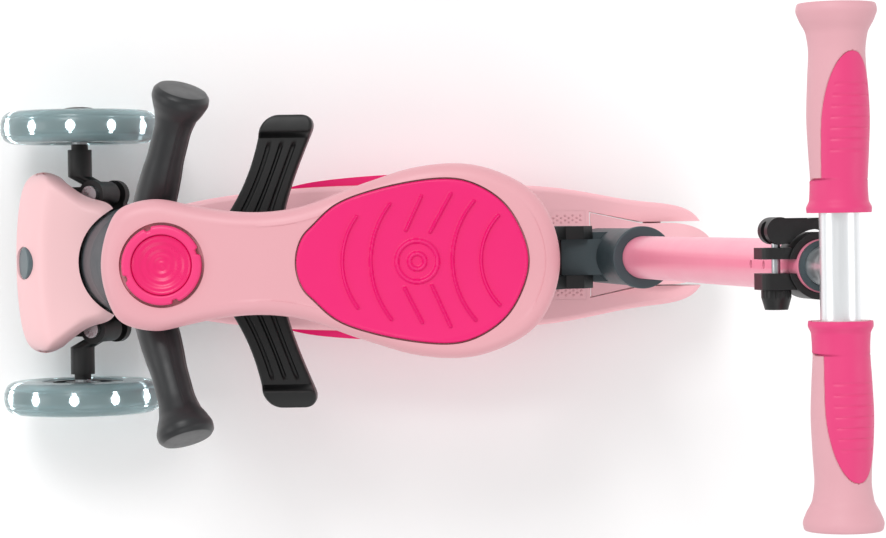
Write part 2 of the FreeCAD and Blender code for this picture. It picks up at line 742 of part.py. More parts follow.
def make_seat_shell():
    wire = spline_outline(seat_stations, seat_nose_y, seat_tail_y)
    shell = rounded_rims(prism(wire, seat_bottom_z, seat_top_z), seat_edge_r, seat_top_z)
    inside = spline_outline(seat_stations, seat_nose_y, seat_tail_y, -seat_wall)
    hollow = prism(inside, seat_bottom_z - 1, floor_z)
    shell = shell.cut(hollow)
    recess = prism(spline_outline(pad_stations, pad_nose_y, pad_tail_y, 0.6), recess_z, seat_top_z + 1)
    well = cylinder(knob_d + 2.4, 20, Vector(0, knob_y, recess_z))
    bolt = cylinder(knob_stud_d + 1, 20, Vector(0, knob_y, floor_z - 1))
    return shell.cut(Part.makeCompound([recess, well, bolt]))


def make_pad():
    pad = prism(spline_outline(pad_stations, pad_nose_y, pad_tail_y), recess_z, seat_top_z + pad_proud)
    pad = rounded_rims(pad, 1.5, seat_top_z + pad_proud)
    dish_r = 900.0
    middle = Vector(0, (pad_nose_y + pad_tail_y) / 2 + 10, seat_top_z + pad_proud - 3.2 + dish_r)
    return pad.cut(Part.makeSphere(dish_r, middle))


def make_knob():
    bottom = Vector(0, knob_y, recess_z + gap)
    ring = tube(knob_d, knob_d - 2 * knob_ring_width, knob_height, bottom)
    ring = rounded_rims(ring, 1.2, bottom.z + knob_height)
    notches = []
    for quarter in range(4):
        angle = math.radians(20 + 90 * quarter)
        spot = bottom + Vector(knob_d / 2 * math.cos(angle), knob_d / 2 * math.sin(angle), -1)
        notches.append(cylinder(5, 20, spot))
    ring = ring.cut(Part.makeCompound(notches))
    disc = cylinder(knob_d - 2 * knob_ring_width - 2 * seam, knob_height - 1.5, bottom)
    disc = disc.cut(Part.makeSphere(110, bottom + Z * (knob_height - 5.5 + 110)))
    disc = disc.cut(cylinder(knob_stud_d, 3, bottom - Z))
    stud_foot = Vector(0, knob_y, column_top_z - 20)
    stud = cylinder(knob_stud_d, bottom.z + 2 - seam - stud_foot.z, stud_foot)
    return ring, disc, stud


def make_seat_frame():
    """The black moulding under the seat: a head over the column, a spine, and a hanger for the footrests."""
    head = cylinder(head_d, seat_bottom_z - column_top_z - seam, Vector(0, knob_y, column_top_z))
    neck = cylinder(22, floor_z - seat_bottom_z, Vector(0, knob_y, seat_bottom_z - 2))
    half = frame_width / 2
    end = bridge_front_y + 22
    spine = block(-half, half, knob_y, end, seat_bottom_z - seam - frame_height, seat_bottom_z - seam)
    spine = spine.makeFillet(5, [e for e in spine.Edges if abs(e.BoundBox.YLength - (end - knob_y)) < 0.1])
    posts = [cylinder(10, floor_z - seat_bottom_z, Vector(0, y, seat_bottom_z - seam - 1))
             for y in (pad_nose_y + 30, pad_tail_y - 40)]
    hanger_y = seat_nose_y + footrest_from_nose
    hanger = side_prism([(hanger_y - 36, seat_bottom_z - 10), (hanger_y - footrest_width / 2, footrest_top_z),
                         (hanger_y - footrest_width / 2, footrest_top_z - footrest_height),
                         (hanger_y + footrest_width / 2, footrest_top_z - footrest_height),
                         (hanger_y + footrest_width / 2, footrest_top_z),
                         (hanger_y + 44, seat_bottom_z - 10)],
                        -hanger_width / 2, hanger_width / 2)
    body = fuse([head, neck, spine, hanger] + posts)
    bolt = cylinder(knob_stud_d + 0.4, 90, Vector(0, knob_y, column_top_z - 10))
    body = body.cut(bolt)
    for side in (-1, 1):
        body = body.cut(handle_solid(side, seam))
    bridge = side_prism(bridge_outline(seam), -bridge_width / 2 - seam, bridge_width / 2 + seam)
    return body.cut(bridge)


def handle_solid(side, grow):
    fall = handle_start_x * math.tan(math.radians(handle_rise))
    start = Vector(side * handle_start_x, knob_y + handle_setback, handle_z - fall)
    reach = handle_tip_x - handle_start_x
    along = Vector(side, math.tan(math.radians(handle_sweep)), math.tan(math.radians(handle_rise)))
    length = reach * along.Length
    unit = along.normalize()
    root = handle_root_d / 2 + grow
    neck = handle_neck_d / 2 + grow
    flare = handle_flare_d / 2 + grow
    profile = [(-grow, 0), (-grow, root), (length * 0.35, root), (length * 0.6, neck), (length * 0.8, neck),
               (length * 0.9, flare - 2.5), (length * 0.95, flare), (length * 0.985, flare - 1.5),
               (length, flare - 5), (length, 0)]
    return revolved(profile, start, unit)


def make_handle(side):
    handle = handle_solid(side, 0)
    stud = cylinder(knob_stud_d + 4, 60, Vector(0, knob_y, handle_z - 30))
    return handle.cut(stud)


def make_footrest(side):
    middle = seat_nose_y + footrest_from_nose
    start_x = hanger_width / 2 + seam
    slope = math.tan(math.radians(footrest_sweep))

    def centre(x):
        return middle + max(0.0, x - 36) * slope

    half = footrest_width / 2
    tip_half = footrest_tip_width / 2
    tip = footrest_tip_x
    corners = [(start_x, middle - half), (36, middle - half), (tip, centre(tip) - tip_half),
               (tip, centre(tip) + tip_half), (36, middle + half), (start_x, middle + half)]
    plan = polygon([Vector(x, y, 0) for x, y in corners])
    plate = prism(plan, footrest_top_z - footrest_height, footrest_top_z + footrest_lip)
    corners = [e for e in plate.Edges if e.BoundBox.ZLength > 10 and e.BoundBox.XMax > tip - 1]
    plate = plate.makeFillet(8, corners)
    above = block(0, tip - 14, -overall_length, overall_length, footrest_top_z, footrest_top_z + 20)
    plate = plate.cut(above)
    place = FreeCAD.Placement(Vector(36, middle, 0), Rotation(Z, footrest_sweep))
    run = (tip - 36) / math.cos(math.radians(footrest_sweep))
    cuts = [block(6, run - 20, y - 1.6, y + 1.6, footrest_top_z - 2, footrest_top_z + 1)
            for y in (-half * 0.5, 0, half * 0.5)]
    cuts.append(block(4, run - 18, 5 - tip_half, tip_half - 5, footrest_top_z - footrest_height - 1,
                      footrest_top_z - 5))
    cut = Part.makeCompound(cuts)
    cut.Placement = place
    return sided(plate.cut(cut), side)


# bracket, socket and push bar ------------------------------------------------------------------
bridge_front_y = stem_mouth_y - socket_gap - bridge_length
stem_dir = Vector(0, math.sin(math.radians(stem_tilt)), math.cos(math.radians(stem_tilt)))
stem_front = Vector(0, -math.cos(math.radians(stem_tilt)), math.sin(math.radians(stem_tilt)))
bar_centre = Vector(0, bar_y, bar_z)
bracket_waist_z = deck_top_z + 30
bracket_shoulder_z = socket_mouth_z - 22
bridge_screws = [(side, bridge_front_y + y, z) for side in (-1, 1)
                 for y, z in ((8, seat_bottom_z - 18), (24, seat_bottom_z - 80), (22, deck_top_z + 24))]


def on_stem(z):
    """The point of the stem's axis at height z."""
    return Vector(0, stem_mouth_y + (z - socket_mouth_z) * math.tan(math.radians(stem_tilt)), z)


release_base = on_stem(socket_mouth_z - 48) - stem_front * (stem_d / 2 + release_travel + gap)


def bracket_back(z):
    return on_stem(z).y - socket_gap


def bridge_outline(grow):
    """The bracket's side view: from its foot on the deck up to the underside of the seat."""
    front = bridge_front_y
    top = seat_bottom_z - 1
    foot_z = deck_top_z + seam
    shoulder_y = bracket_back(bracket_shoulder_z)
    return [(front + 4 - grow, foot_z - grow), (bracket_back(foot_z) - 6 + grow, foot_z - grow),
            (bracket_back(bracket_waist_z) + grow, bracket_waist_z), (shoulder_y + grow, bracket_shoulder_z),
            (shoulder_y - 7, bracket_shoulder_z + 13 + grow),
            (shoulder_y - 20, bracket_shoulder_z + 16 + grow),
            (front + 22 + grow, top - 6), (front + 22 + grow, top + grow), (front - 6 - grow, top + grow),
            (front - 6 - grow, top - 44), (front + 4 - grow, top - 89), (front + 6 - grow, deck_top_z + 40)]


def make_bridge(side):
    """One cheek of the bracket, with a web that meets the other cheek on the middle plane."""
    cheek = side_prism(bridge_outline(0), bridge_width / 2 - cheek_width, bridge_width / 2)
    front = bridge_front_y
    top = seat_bottom_z - 1
    web_half = bridge_width / 2 - 1
    webs = [block(seam / 2, web_half, front + 6, front + 34, deck_top_z + 4, deck_top_z + 10),
            side_prism([(front + 4, top - 89), (front + 12, top - 89), (front + 2, top - 43),
                        (front + 2, top - 9), (front - 6, top - 9), (front - 6, top - 44)],
                       seam / 2, web_half)]
    body = fuse([cheek] + webs)
    holes = []
    for place_side, y, z in bridge_screws:
        if place_side > 0:
            holes.append(cylinder(screw_d, 60, Vector(0, y, z), X))
            holes.append(cylinder(screw_head_d + 2 * screw_clear, 8, Vector(bridge_width / 2 - 1, y, z), X))
    bosses = [cylinder(boss_d, bridge_width / 2 - 2 - seam / 2, Vector(seam / 2, y, z), X)
              for place_side, y, z in bridge_screws if place_side > 0]
    body = fuse([body] + bosses).cut(Part.makeCompound(holes))
    return sided(body, side)


def make_socket():
    """The tube that holds the push bar, with a tongue that runs forward between the bracket's cheeks."""
    foot = on_stem(socket_foot_z)
    length = (socket_mouth_z - socket_foot_z) / math.cos(math.radians(stem_tilt)) + socket_rise
    barrel = cylinder(socket_d, length, foot, stem_dir)
    rim_start = foot + stem_dir * (length - socket_rim_height)
    rim = cylinder(socket_d + 2 * socket_rim, socket_rim_height, rim_start, stem_dir)
    rim = rim.makeFillet(1.2, rim.Edges)
    inner_half = bridge_width / 2 - cheek_width - seam
    low, high = socket_foot_z + 6, socket_mouth_z - 16
    tongue = side_prism([(bracket_back(low) - 14, low), (on_stem(low).y, low), (on_stem(high).y, high),
                         (bracket_back(high) - 24, high)], -inner_half, inner_half)
    low, high = low + 2, high - 8
    neck = side_prism([(bracket_back(low) + seam, low), (on_stem(low).y, low), (on_stem(high).y, high),
                       (bracket_back(high) + seam, high)], -socket_neck / 2, socket_neck / 2)
    body = fuse([barrel, rim, tongue, neck])
    bore = cylinder(stem_d + 2 * pin_clear, 200, foot + stem_dir * socket_floor, stem_dir)
    body = body.cut(bore)
    window_start = release_base + stem_front * (release_travel + 2 * gap)
    window = cylinder(release_d + 2 * gap, 40, window_start, -stem_front)
    holes = [cylinder(boss_d + 2 * gap, 60, Vector(-30, y, z), X) for side, y, z in bridge_screws if side > 0]
    return body.cut(Part.makeCompound([window] + holes))


def make_release():
    """The sprung button on the back of the socket that frees the push bar."""
    return cylinder(release_d, (socket_d - stem_d) / 2 + 1, release_base, -stem_front)


def stem_point(along, forward=0.0, x=0.0):
    """A point given from the handlebar's centre: down the stem, forward of it and to one side."""
    return bar_centre - stem_dir * along + stem_front * forward + X * x


collar_drop = (collar_below_top - grip_flare_d / 2) / math.cos(math.radians(stem_tilt))


def make_stem_tube():
    foot = on_stem(socket_foot_z) + stem_dir * (socket_floor + gap)
    top = stem_point(collar_drop - 3)
    tube_body = tube(stem_d, stem_d - 2 * stem_wall, (top - foot).Length, foot, stem_dir)
    latch = cylinder(6, 12, release_base + stem_front * 10, -stem_front)
    holes = [cylinder(5, 12, stem_point(collar_drop + 36 + 25 * n) + stem_front * 10, stem_front)
             for n in range(3)]
    return tube_body.cut(Part.makeCompound([latch] + holes))


def make_bush():
    start = stem_point(collar_drop - 3 + bush_length)
    outer = stem_d - 2 * stem_wall - 2 * seam
    bore = bar_d + 2 * pin_clear
    body = tube(outer, bore, bush_length + 1, start, stem_dir)
    rim = tube(stem_d - 1, bore, 2, start + stem_dir * (bush_length + seam), stem_dir)
    return fuse([body, rim])


def clamp_place(shape):
    """Moves a shape drawn round +Z, with -Y forward, to the middle of the clamp on the stem."""
    place = FreeCAD.Placement(stem_point(collar_drop + collar_height / 2), Rotation(X, -stem_tilt))
    shape.Placement = place.multiply(shape.Placement)
    return shape


def make_collar():
    half = collar_height / 2
    ring = cylinder(collar_d, collar_height, Vector(0, 0, -half))
    right_jaw = block(jaw_slot / 2, nut_jaw_x, -jaw_reach, 0, -half + 2, half - 2)
    left_jaw = block(-cam_jaw_x, -jaw_slot / 2, -jaw_reach, 0, -half + 2, half - 2)
    jaws = []
    for jaw in (right_jaw, left_jaw):
        front = [e for e in jaw.Edges if e.BoundBox.XLength > 5 and e.BoundBox.YMax < 1 - jaw_reach]
        jaws.append(jaw.makeFillet(4, front))
    body = fuse([ring] + jaws)
    bore = cylinder(stem_d + 2 * seam, collar_height + 2, Vector(0, 0, -half - 1))
    slot = block(-jaw_slot / 2, jaw_slot / 2, -jaw_reach - 1, 0, -half - 1, half + 1)
    bolt_hole = cylinder(clamp_bolt_d + 0.2, 60, Vector(-30, -bolt_reach, 0), X)
    return clamp_place(body.cut(Part.makeCompound([bore, slot, bolt_hole])))


def make_clamp_bolt():
    shank = cylinder(clamp_bolt_d, barrel_x + 22, Vector(-barrel_x, -bolt_reach, 0), X)
    barrel = cylinder(cam_barrel_d, cam_barrel_length, Vector(-barrel_x, -bolt_reach, -cam_barrel_length / 2))
    return clamp_place(fuse([shank, barrel]))


def make_lever():
    """The cam lever: round its barrel in front, and curving back round the collar."""
    cam = cylinder(cam_d, lever_height, Vector(-barrel_x, -bolt_reach, -lever_height / 2))
    half = lever_arm_height / 2
    sweep = tube(2 * lever_outer_r, 2 * lever_inner_r, lever_arm_height, Vector(0, 0, -half))
    arm = sweep.common(fuse([block(-40, -12.6, 2 - bolt_reach, 1, -8, 8), block(-40, -8, 0, 19, -8, 8)]))
    inside = cylinder(2 * lever_inner_r, lever_height, Vector(0, 0, -lever_height / 2))
    bridge = block(-lever_outer_r, -19.5, -bolt_reach, -6, -half, half).cut(inside)
    body = fuse([cam, arm, bridge])
    slot = clamp_bolt_d / 2 + 0.7
    pivot = Vector(-barrel_x, -bolt_reach, 0)
    swept = Part.makeCylinder(cam_d, 2 * slot, pivot - Z * slot, Z, lever_swing)
    swept.rotate(pivot, Z, -lever_swing)
    open_angle = math.radians(-lever_swing)
    shank_when_open = Vector(math.cos(open_angle), math.sin(open_angle), 0)
    cuts = [cylinder(cam_barrel_d + 2 * pin_clear, cam_barrel_length + 2 * gap,
                     pivot - Z * (cam_barrel_length / 2 + gap)),
            block(-barrel_x - 1, 0, -bolt_reach - slot, slot - bolt_reach, -slot, slot),
            cylinder(2 * slot, cam_d, pivot, shank_when_open),
            swept]
    return clamp_place(body.cut(Part.makeCompound(cuts)))


def make_clamp_nut():
    start = Vector(nut_jaw_x + gap, -bolt_reach, 0)
    radius = nut_d / 2
    nut = revolved([(0, 0), (0, radius), (4, radius), (nut_length, radius - 2), (nut_length, 0)], start, X)
    knurls = []
    for number in range(nut_knurls):
        away = radial(2 * math.pi * number / nut_knurls) * (radius + 0.2)
        knurls.append(cylinder(1.2, nut_length + 1, start + away - X * 0.5, X))
    nut = nut.cut(Part.makeCompound(knurls))
    bore = cylinder(clamp_bolt_d + 2 * pin_clear, 40, start - X, X)
    return clamp_place(nut.cut(bore))


def make_inner_bar():
    """The silver T: a crossbar with the sliding tube welded under its middle."""
    reach = handlebar_width / 2 - grip_end_wall - 1
    cross = cylinder(bar_d, 2 * reach, bar_centre - X * reach, X)
    length = telescope + collar_drop + 90
    down = cylinder(bar_d, length, stem_point(length), stem_dir)
    body = fuse([cross, down])
    hollow = fuse([cylinder(bar_d - 2 * bar_wall, 2 * reach + 2, bar_centre - X * (reach + 1), X),
                   cylinder(bar_d - 2 * bar_wall, length, stem_point(length + 1), stem_dir)])
    return body.cut(hollow)


def grip_profile(start, end):
    belly = grip_belly_d / 2
    flare = grip_flare_d / 2
    return [(start, 0), (start, belly + 0.3), (start + 3, belly + 0.5), (start + 8, belly - 1.2),
            (start + 26, belly - 1.0), (start + 50, belly), (start + 74, belly - 0.8),
            (end - 26, belly - 1.6), (end - 16, belly + 0.4), (end - 9, flare - 1.2), (end - 5, flare), (end - 2.5, flare - 0.6),
            (end, flare - 3), (end, 0)]


def grip_solid():
    start = bare_bar / 2
    end = handlebar_width / 2
    face = Part.Face(polygon([Vector(x, r, 0) for x, r in grip_profile(start, end)]))
    return face.revolve(Vector(0, 0, 0), X, 360)


def inlay_region(clear):
    """Straight down through the grip: the inner collar and the rounded tongue that runs out from it."""
    start = bare_bar / 2
    collar = block(start - 1, start + inlay_collar + clear, -bar_d, bar_d, -bar_d, bar_d)
    tip_x = handlebar_width / 2 - inlay_end - inlay_half
    tongue = block(start, tip_x, -inlay_half - clear, inlay_half + clear, 0, bar_d)
    tip = cylinder(2 * (inlay_half + clear), bar_d, Vector(tip_x, 0, 0))
    return fuse([collar, tongue, tip])


def make_grip(side):
    whole = grip_solid()
    core_d = grip_belly_d - 2 * inlay_depth - 3
    core = cylinder(core_d, handlebar_width, Vector(0, 0, 0), X)
    wider_core = cylinder(core_d + 2 * seam, handlebar_width, Vector(0, 0, 0), X)
    bore = cylinder(bar_d + 2 * seam, handlebar_width / 2 - grip_end_wall, Vector(0, 0, 0), X)
    body = whole.cut(inlay_region(seam).cut(core)).cut(bore)
    inlay = whole.common(inlay_region(0)).cut(wider_core)
    turn = Rotation(X, palm_turn - stem_tilt)
    result = []
    for shape in (body, inlay):
        shape.Placement = FreeCAD.Placement(bar_centre, turn)
        result.append(sided(shape, side))
    return result


def main():
    os.makedirs("parts", exist_ok=True)
    save("deck_top", make_deck_top())
    save("deck_grip_panel", make_deck_panel())
    save("deck_lower_shell", make_tray())
    save("deck_stiffener", make_stiffener())
    save("screws", make_screws())
    rear_centre = Vector(0, rear_axle_y, rear_axle_z)
    tyre, hub, bearings = wheel_parts(rear_centre, rear_wheel_d, rear_wheel_width, rear_hub_d)
    save("tyre_rear", tyre)
    save("hub_rear", hub)
    save("bearings_rear", bearings)
    save("axle_rear", make_rear_axle())
    save("axle_nut_rear", make_rear_nut())
    save("brake_fender", make_fender())
    save("fender_pin", make_fender_pin())
    save("fender_spring", make_fender_spring())
    save("front_chassis", make_chassis())
    save("kingpins", make_kingpins())
    save("centring_springs", make_centring_springs())
    save("tie_rod", make_tie_rod())
    save("tie_rod_pins", make_tie_pins())
    for name, side in SIDES.items():
        save("knuckle_" + name, make_knuckle(side))
        tyre, hub, ring, bearings, cap = make_front_wheel(side)
        save("tyre_front_" + name, tyre)
        save("hub_front_" + name, hub)
        save("light_ring_" + name, ring)
        save("bearings_front_" + name, bearings)
        save("hub_cap_" + name, cap)
        save("axle_front_" + name, make_front_axle(side))
        save("handle_" + name, make_handle(side))
        save("footrest_" + name, make_footrest(side))
        save("bracket_" + name, make_bridge(side))
        grip, inlay = make_grip(side)
        save("grip_" + name, grip)
        save("grip_inlay_" + name, inlay)
    save("nose_hood", make_hood())
    save("lock_button", make_button())
    save("front_column", make_column())
    save("seat_shell", make_seat_shell())
    save("seat_pad", make_pad())
    save("seat_frame", make_seat_frame())
    ring, disc, stud = make_knob()
    save("knob_ring", ring)
    save("knob_disc", disc)
    save("knob_stud", stud)
    save("bar_socket", make_socket())
    save("release_button", make_release())
    save("stem_tube", make_stem_tube())
    save("stem_bush", make_bush())
    save("clamp_collar", make_collar())
    save("clamp_bolt", make_clamp_bolt())
    save("clamp_lever", make_lever())
    save("clamp_nut", make_clamp_nut())
    save("inner_bar", make_inner_bar())


main()
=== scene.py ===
# %% [markdown]
# # A child's ride-on scooter with a push bar
# The frame holds the scooter's real pieces, in metres, with the ground at height 0 and the front along
# -Y. Everything below either gives one of those pieces its finish, or makes a smoother piece that stands
# for it.

# %% Load the frame
import math

import bmesh
import bpy
import numpy as np
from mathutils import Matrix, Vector


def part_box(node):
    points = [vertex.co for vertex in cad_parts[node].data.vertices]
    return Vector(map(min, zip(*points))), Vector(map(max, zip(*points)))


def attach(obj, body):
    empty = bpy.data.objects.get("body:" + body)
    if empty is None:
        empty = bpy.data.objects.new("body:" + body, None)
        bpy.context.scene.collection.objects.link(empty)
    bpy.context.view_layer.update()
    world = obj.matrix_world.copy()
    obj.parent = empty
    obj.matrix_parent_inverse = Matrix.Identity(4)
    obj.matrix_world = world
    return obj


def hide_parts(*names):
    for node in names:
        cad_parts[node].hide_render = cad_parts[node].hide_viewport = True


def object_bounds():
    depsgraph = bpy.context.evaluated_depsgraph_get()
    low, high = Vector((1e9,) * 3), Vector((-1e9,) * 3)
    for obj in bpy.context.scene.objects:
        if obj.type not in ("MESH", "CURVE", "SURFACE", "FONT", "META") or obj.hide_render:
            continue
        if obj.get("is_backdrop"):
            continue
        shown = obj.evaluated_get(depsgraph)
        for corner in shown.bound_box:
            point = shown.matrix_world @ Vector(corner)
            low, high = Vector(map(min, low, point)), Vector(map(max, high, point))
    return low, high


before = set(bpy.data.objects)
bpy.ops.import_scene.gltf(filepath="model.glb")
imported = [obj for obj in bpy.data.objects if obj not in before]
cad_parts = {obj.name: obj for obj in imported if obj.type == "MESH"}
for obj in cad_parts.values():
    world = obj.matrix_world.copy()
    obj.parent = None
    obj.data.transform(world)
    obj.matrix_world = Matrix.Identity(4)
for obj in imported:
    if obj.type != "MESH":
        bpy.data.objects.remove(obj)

cad_low, cad_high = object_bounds()
mm = 0.001
print("frame box in mm", [round(v / mm, 1) for v in (cad_high - cad_low)])

# %% [markdown]
# ## Colours and nodes
# Colours are picked as screen values, which are curved, while light adds up in straight numbers. One
# function straightens a colour. Another adds a shader node with its settings and its links in one go.

# %% Colour and node helpers
def colour(code):
    """Straight red, green, blue and alpha of a screen colour: each channel is undone from its curve."""
    channels = [int(code[i:i + 2], 16) / 255 for i in (1, 3, 5)]
    return tuple(c / 12.92 if c <= 0.04045 else ((c + 0.055) / 1.055) ** 2.4 for c in channels) + (1.0,)


def add(tree, kind, settings=None, **links):
    """Adds one node: settings name its options or inputs, links name the inputs and what feeds them."""
    node = tree.nodes.new("ShaderNode" + kind)
    for key, value in (settings or {}).items():
        if isinstance(key, str) and hasattr(node, key):
            setattr(node, key, value)
        else:
            node.inputs[key].default_value = value
    for key, source in links.items():
        numbered = key[0] == "i" and key[1:].isdigit()
        place = int(key[1:]) if numbered else key.replace("_", " ")
        tree.links.new(source, node.inputs[place])
    return node


def new_material(name):
    """An empty material with its principled shader and its object coordinates, ready for more nodes."""
    made = bpy.data.materials.new(name)
    made.use_nodes = True
    tree = made.node_tree
    shader = tree.nodes["Principled BSDF"]
    place = add(tree, "TexCoord").outputs["Object"]
    return made, tree, shader, place


def finish_nodes(tree, shader, place, code, spread, grain_mm, grain_depth, rough, rough_spread, wear_mm=30):
    """Three noises at real sizes: slow for the colour, scuff for the roughness, grain for the height."""
    base = colour(code)
    dark = tuple(c * (1 - spread) for c in base[:3]) + (1.0,)
    slow = add(tree, "TexNoise", {"Scale": 1 / (90 * mm), "Detail": 2.0}, Vector=place)
    mix = add(tree, "Mix", {"data_type": "RGBA", 6: dark, 7: base}, i0=slow.outputs["Fac"])
    tree.links.new(mix.outputs[2], shader.inputs["Base Color"])
    scuff_settings = {"Scale": 1 / (wear_mm * mm), "Detail": 6.0, "Roughness": 0.7}
    scuff = add(tree, "TexNoise", scuff_settings, Vector=place)
    band = add(tree, "MapRange", {"From Min": 0.3, "From Max": 0.7, "To Min": rough - rough_spread,
                                  "To Max": rough + rough_spread}, Value=scuff.outputs["Fac"])
    tree.links.new(band.outputs["Result"], shader.inputs["Roughness"])
    grain = add(tree, "TexNoise", {"Scale": 1 / (grain_mm * mm), "Detail": 3.0}, Vector=place)
    bump = add(tree, "Bump", {"Strength": 0.35, "Distance": grain_depth * mm}, Height=grain.outputs["Fac"])
    tree.links.new(bump.outputs["Normal"], shader.inputs["Normal"])
    return bump

# %% [markdown]
# ## Moulded plastics
# The deck, seat and hood are injection-moulded polypropylene with a fine spark-eroded grain, so they
# shine softly. The grain is about a millimetre, and handling makes some patches a little shinier than
# others.

# %% Moulded plastic materials
def moulded(name, code, rough=0.42, grain_mm=0.9, depth=0.05, spread=0.06):
    """Moulded plastic: one colour through and through, fine grain, soft shine."""
    made, tree, shader, place = new_material(name)
    shader.inputs["IOR"].default_value = 1.49
    finish_nodes(tree, shader, place, code, spread, grain_mm, depth, rough, 0.06)
    return made


pink_shell = moulded("light_pink_polypropylene_spark_grain", "#E0A4AC")
# The deck is the seat's plastic. This lighter copy of its pink is painted light, brightened to offset the
# shade the deck sits in.
pink_shell_painted_lighter = moulded("light_pink_polypropylene_painted_lighter_for_shade", "#F8BCC4")
pink_hood = moulded("pale_pink_polypropylene_spark_grain", "#F5C6C9")
magenta_shell = moulded("magenta_polypropylene_spark_grain", "#F0086E", rough=0.36)
magenta_pad = moulded("magenta_soft_touch_pad", "#E8006E", rough=0.44, grain_mm=0.7)
knob_outer = moulded("rose_magenta_knob_plastic", "#EC3478", rough=0.34)
knob_inner = moulded("deep_magenta_knob_plastic", "#E60B68", rough=0.30)
black_nylon = moulded("black_glass_filled_nylon", "#08090A", rough=0.46, grain_mm=1.1, depth=0.08,
                      spread=0.25)
slate_nylon = moulded("slate_glass_filled_nylon", "#39464B", rough=0.48, grain_mm=1.1, depth=0.08,
                      spread=0.12)
grey_button = moulded("grey_button_acetal", "#5F6D72", rough=0.40, spread=0.10)
hub_plastic = moulded("dark_hub_nylon", "#23282B", rough=0.33, spread=0.15)

# %% [markdown]
# ## Rubbers
# The grips are soft thermoplastic rubber. It scatters light, so it looks matt, with a faint bloom where
# hands rub it.

# %% Rubber materials
def rubber(name, code, rough=0.58, spread=0.07):
    """Soft rubber: matt, slightly bloomed, with a sand-like skin."""
    made, tree, shader, place = new_material(name)
    shader.inputs["IOR"].default_value = 1.50
    shader.inputs["Sheen Weight"].default_value = 0.12
    shader.inputs["Sheen Roughness"].default_value = 0.5
    finish_nodes(tree, shader, place, code, spread, 0.6, 0.06, rough, 0.08, wear_mm=18)
    return made


pink_rubber = rubber("light_pink_grip_rubber", "#D9A1AA")
magenta_rubber = rubber("magenta_grip_rubber", "#DE3676", rough=0.5)
black_rubber = rubber("black_handle_rubber", "#15171A", rough=0.42, spread=0.3)

# %% [markdown]
# ## Cast polyurethane
# The front tyres are clear cast polyurethane with a cold, slightly blue tint, so the light modules inside
# shine through. The rear tyre is the same resin, filled and nearly opaque.

# %% Polyurethane materials
def polyurethane(name, code, through, rough):
    """Cast polyurethane: light passes through in part, and tiny casting ripples bend it."""
    made, tree, shader, place = new_material(name)
    shader.inputs["IOR"].default_value = 1.45
    shader.inputs["Transmission Weight"].default_value = through
    finish_nodes(tree, shader, place, code, 0.05, 2.5, 0.1, rough, 0.05, wear_mm=12)
    return made


clear_tyre = polyurethane("clear_cast_polyurethane", "#A9C3C6", 0.55, 0.22)
rear_tyre = polyurethane("milky_cast_polyurethane", "#D9DBD6", 0.0, 0.35)

# %% [markdown]
# ## Metals
# The crossbar is satin anodised aluminium tube, drawn through a die, so its faint lines run along it.
# Axles and screws are zinc plated steel. The long tube is aluminium under salmon powder coat, which has
# orange-peel.

# %% Metal materials
def metal(name, code, rough, stretch=(1, 1, 1), line_mm=0.4, depth=0.02):
    """Bare or plated metal: the pattern is squeezed along one way to make drawing lines."""
    made, tree, shader, place = new_material(name)
    shader.inputs["Metallic"].default_value = 1.0
    run = add(tree, "Mapping", {"Scale": stretch}, Vector=place).outputs["Vector"]
    finish_nodes(tree, shader, run, code, 0.08, line_mm, depth, rough, 0.08, wear_mm=8)
    return made


def powder_coat(name, code, rough=0.34):
    """Powder coat: baked enamel with an orange-peel skin about two millimetres across."""
    made, tree, shader, place = new_material(name)
    shader.inputs["IOR"].default_value = 1.52
    shader.inputs["Coat Weight"].default_value = 0.25
    shader.inputs["Coat Roughness"].default_value = 0.2
    finish_nodes(tree, shader, place, code, 0.05, 2.0, 0.05, rough, 0.05)
    return made


anodised_bar = metal("satin_anodised_aluminium", "#F4F6F8", 0.36, stretch=(0.05, 1, 1))
zinc_steel = metal("zinc_plated_steel", "#B9BCBF", 0.30, line_mm=0.8)
salmon_coat = powder_coat("salmon_powder_coat", "#F693AC")

# %% [markdown]
# ## Light modules
# Each front wheel holds a ring of small white lights that a magnet on the axle drives.

# %% Light material
def lamp(name, code, strength):
    """A light module: white emission that varies a little with a fine noise."""
    made, tree, shader, place = new_material(name)
    finish_nodes(tree, shader, place, code, 0.05, 1.0, 0.02, 0.3, 0.05)
    shader.inputs["Emission Color"].default_value = colour("#F4FBFF")
    flicker = add(tree, "TexNoise", {"Scale": 1 / (3 * mm)}, Vector=place)
    limits = {"To Min": strength * 0.9, "To Max": strength * 1.1}
    power = add(tree, "MapRange", limits, Value=flicker.outputs["Fac"])
    tree.links.new(power.outputs["Result"], shader.inputs["Emission Strength"])
    return made


white_lamp = lamp("white_light_module", "#F4F8FA", 14.0)

# %% [markdown]
# ## Finishes on the frame's own pieces
# Pieces whose frame shape is already right only need their finish.

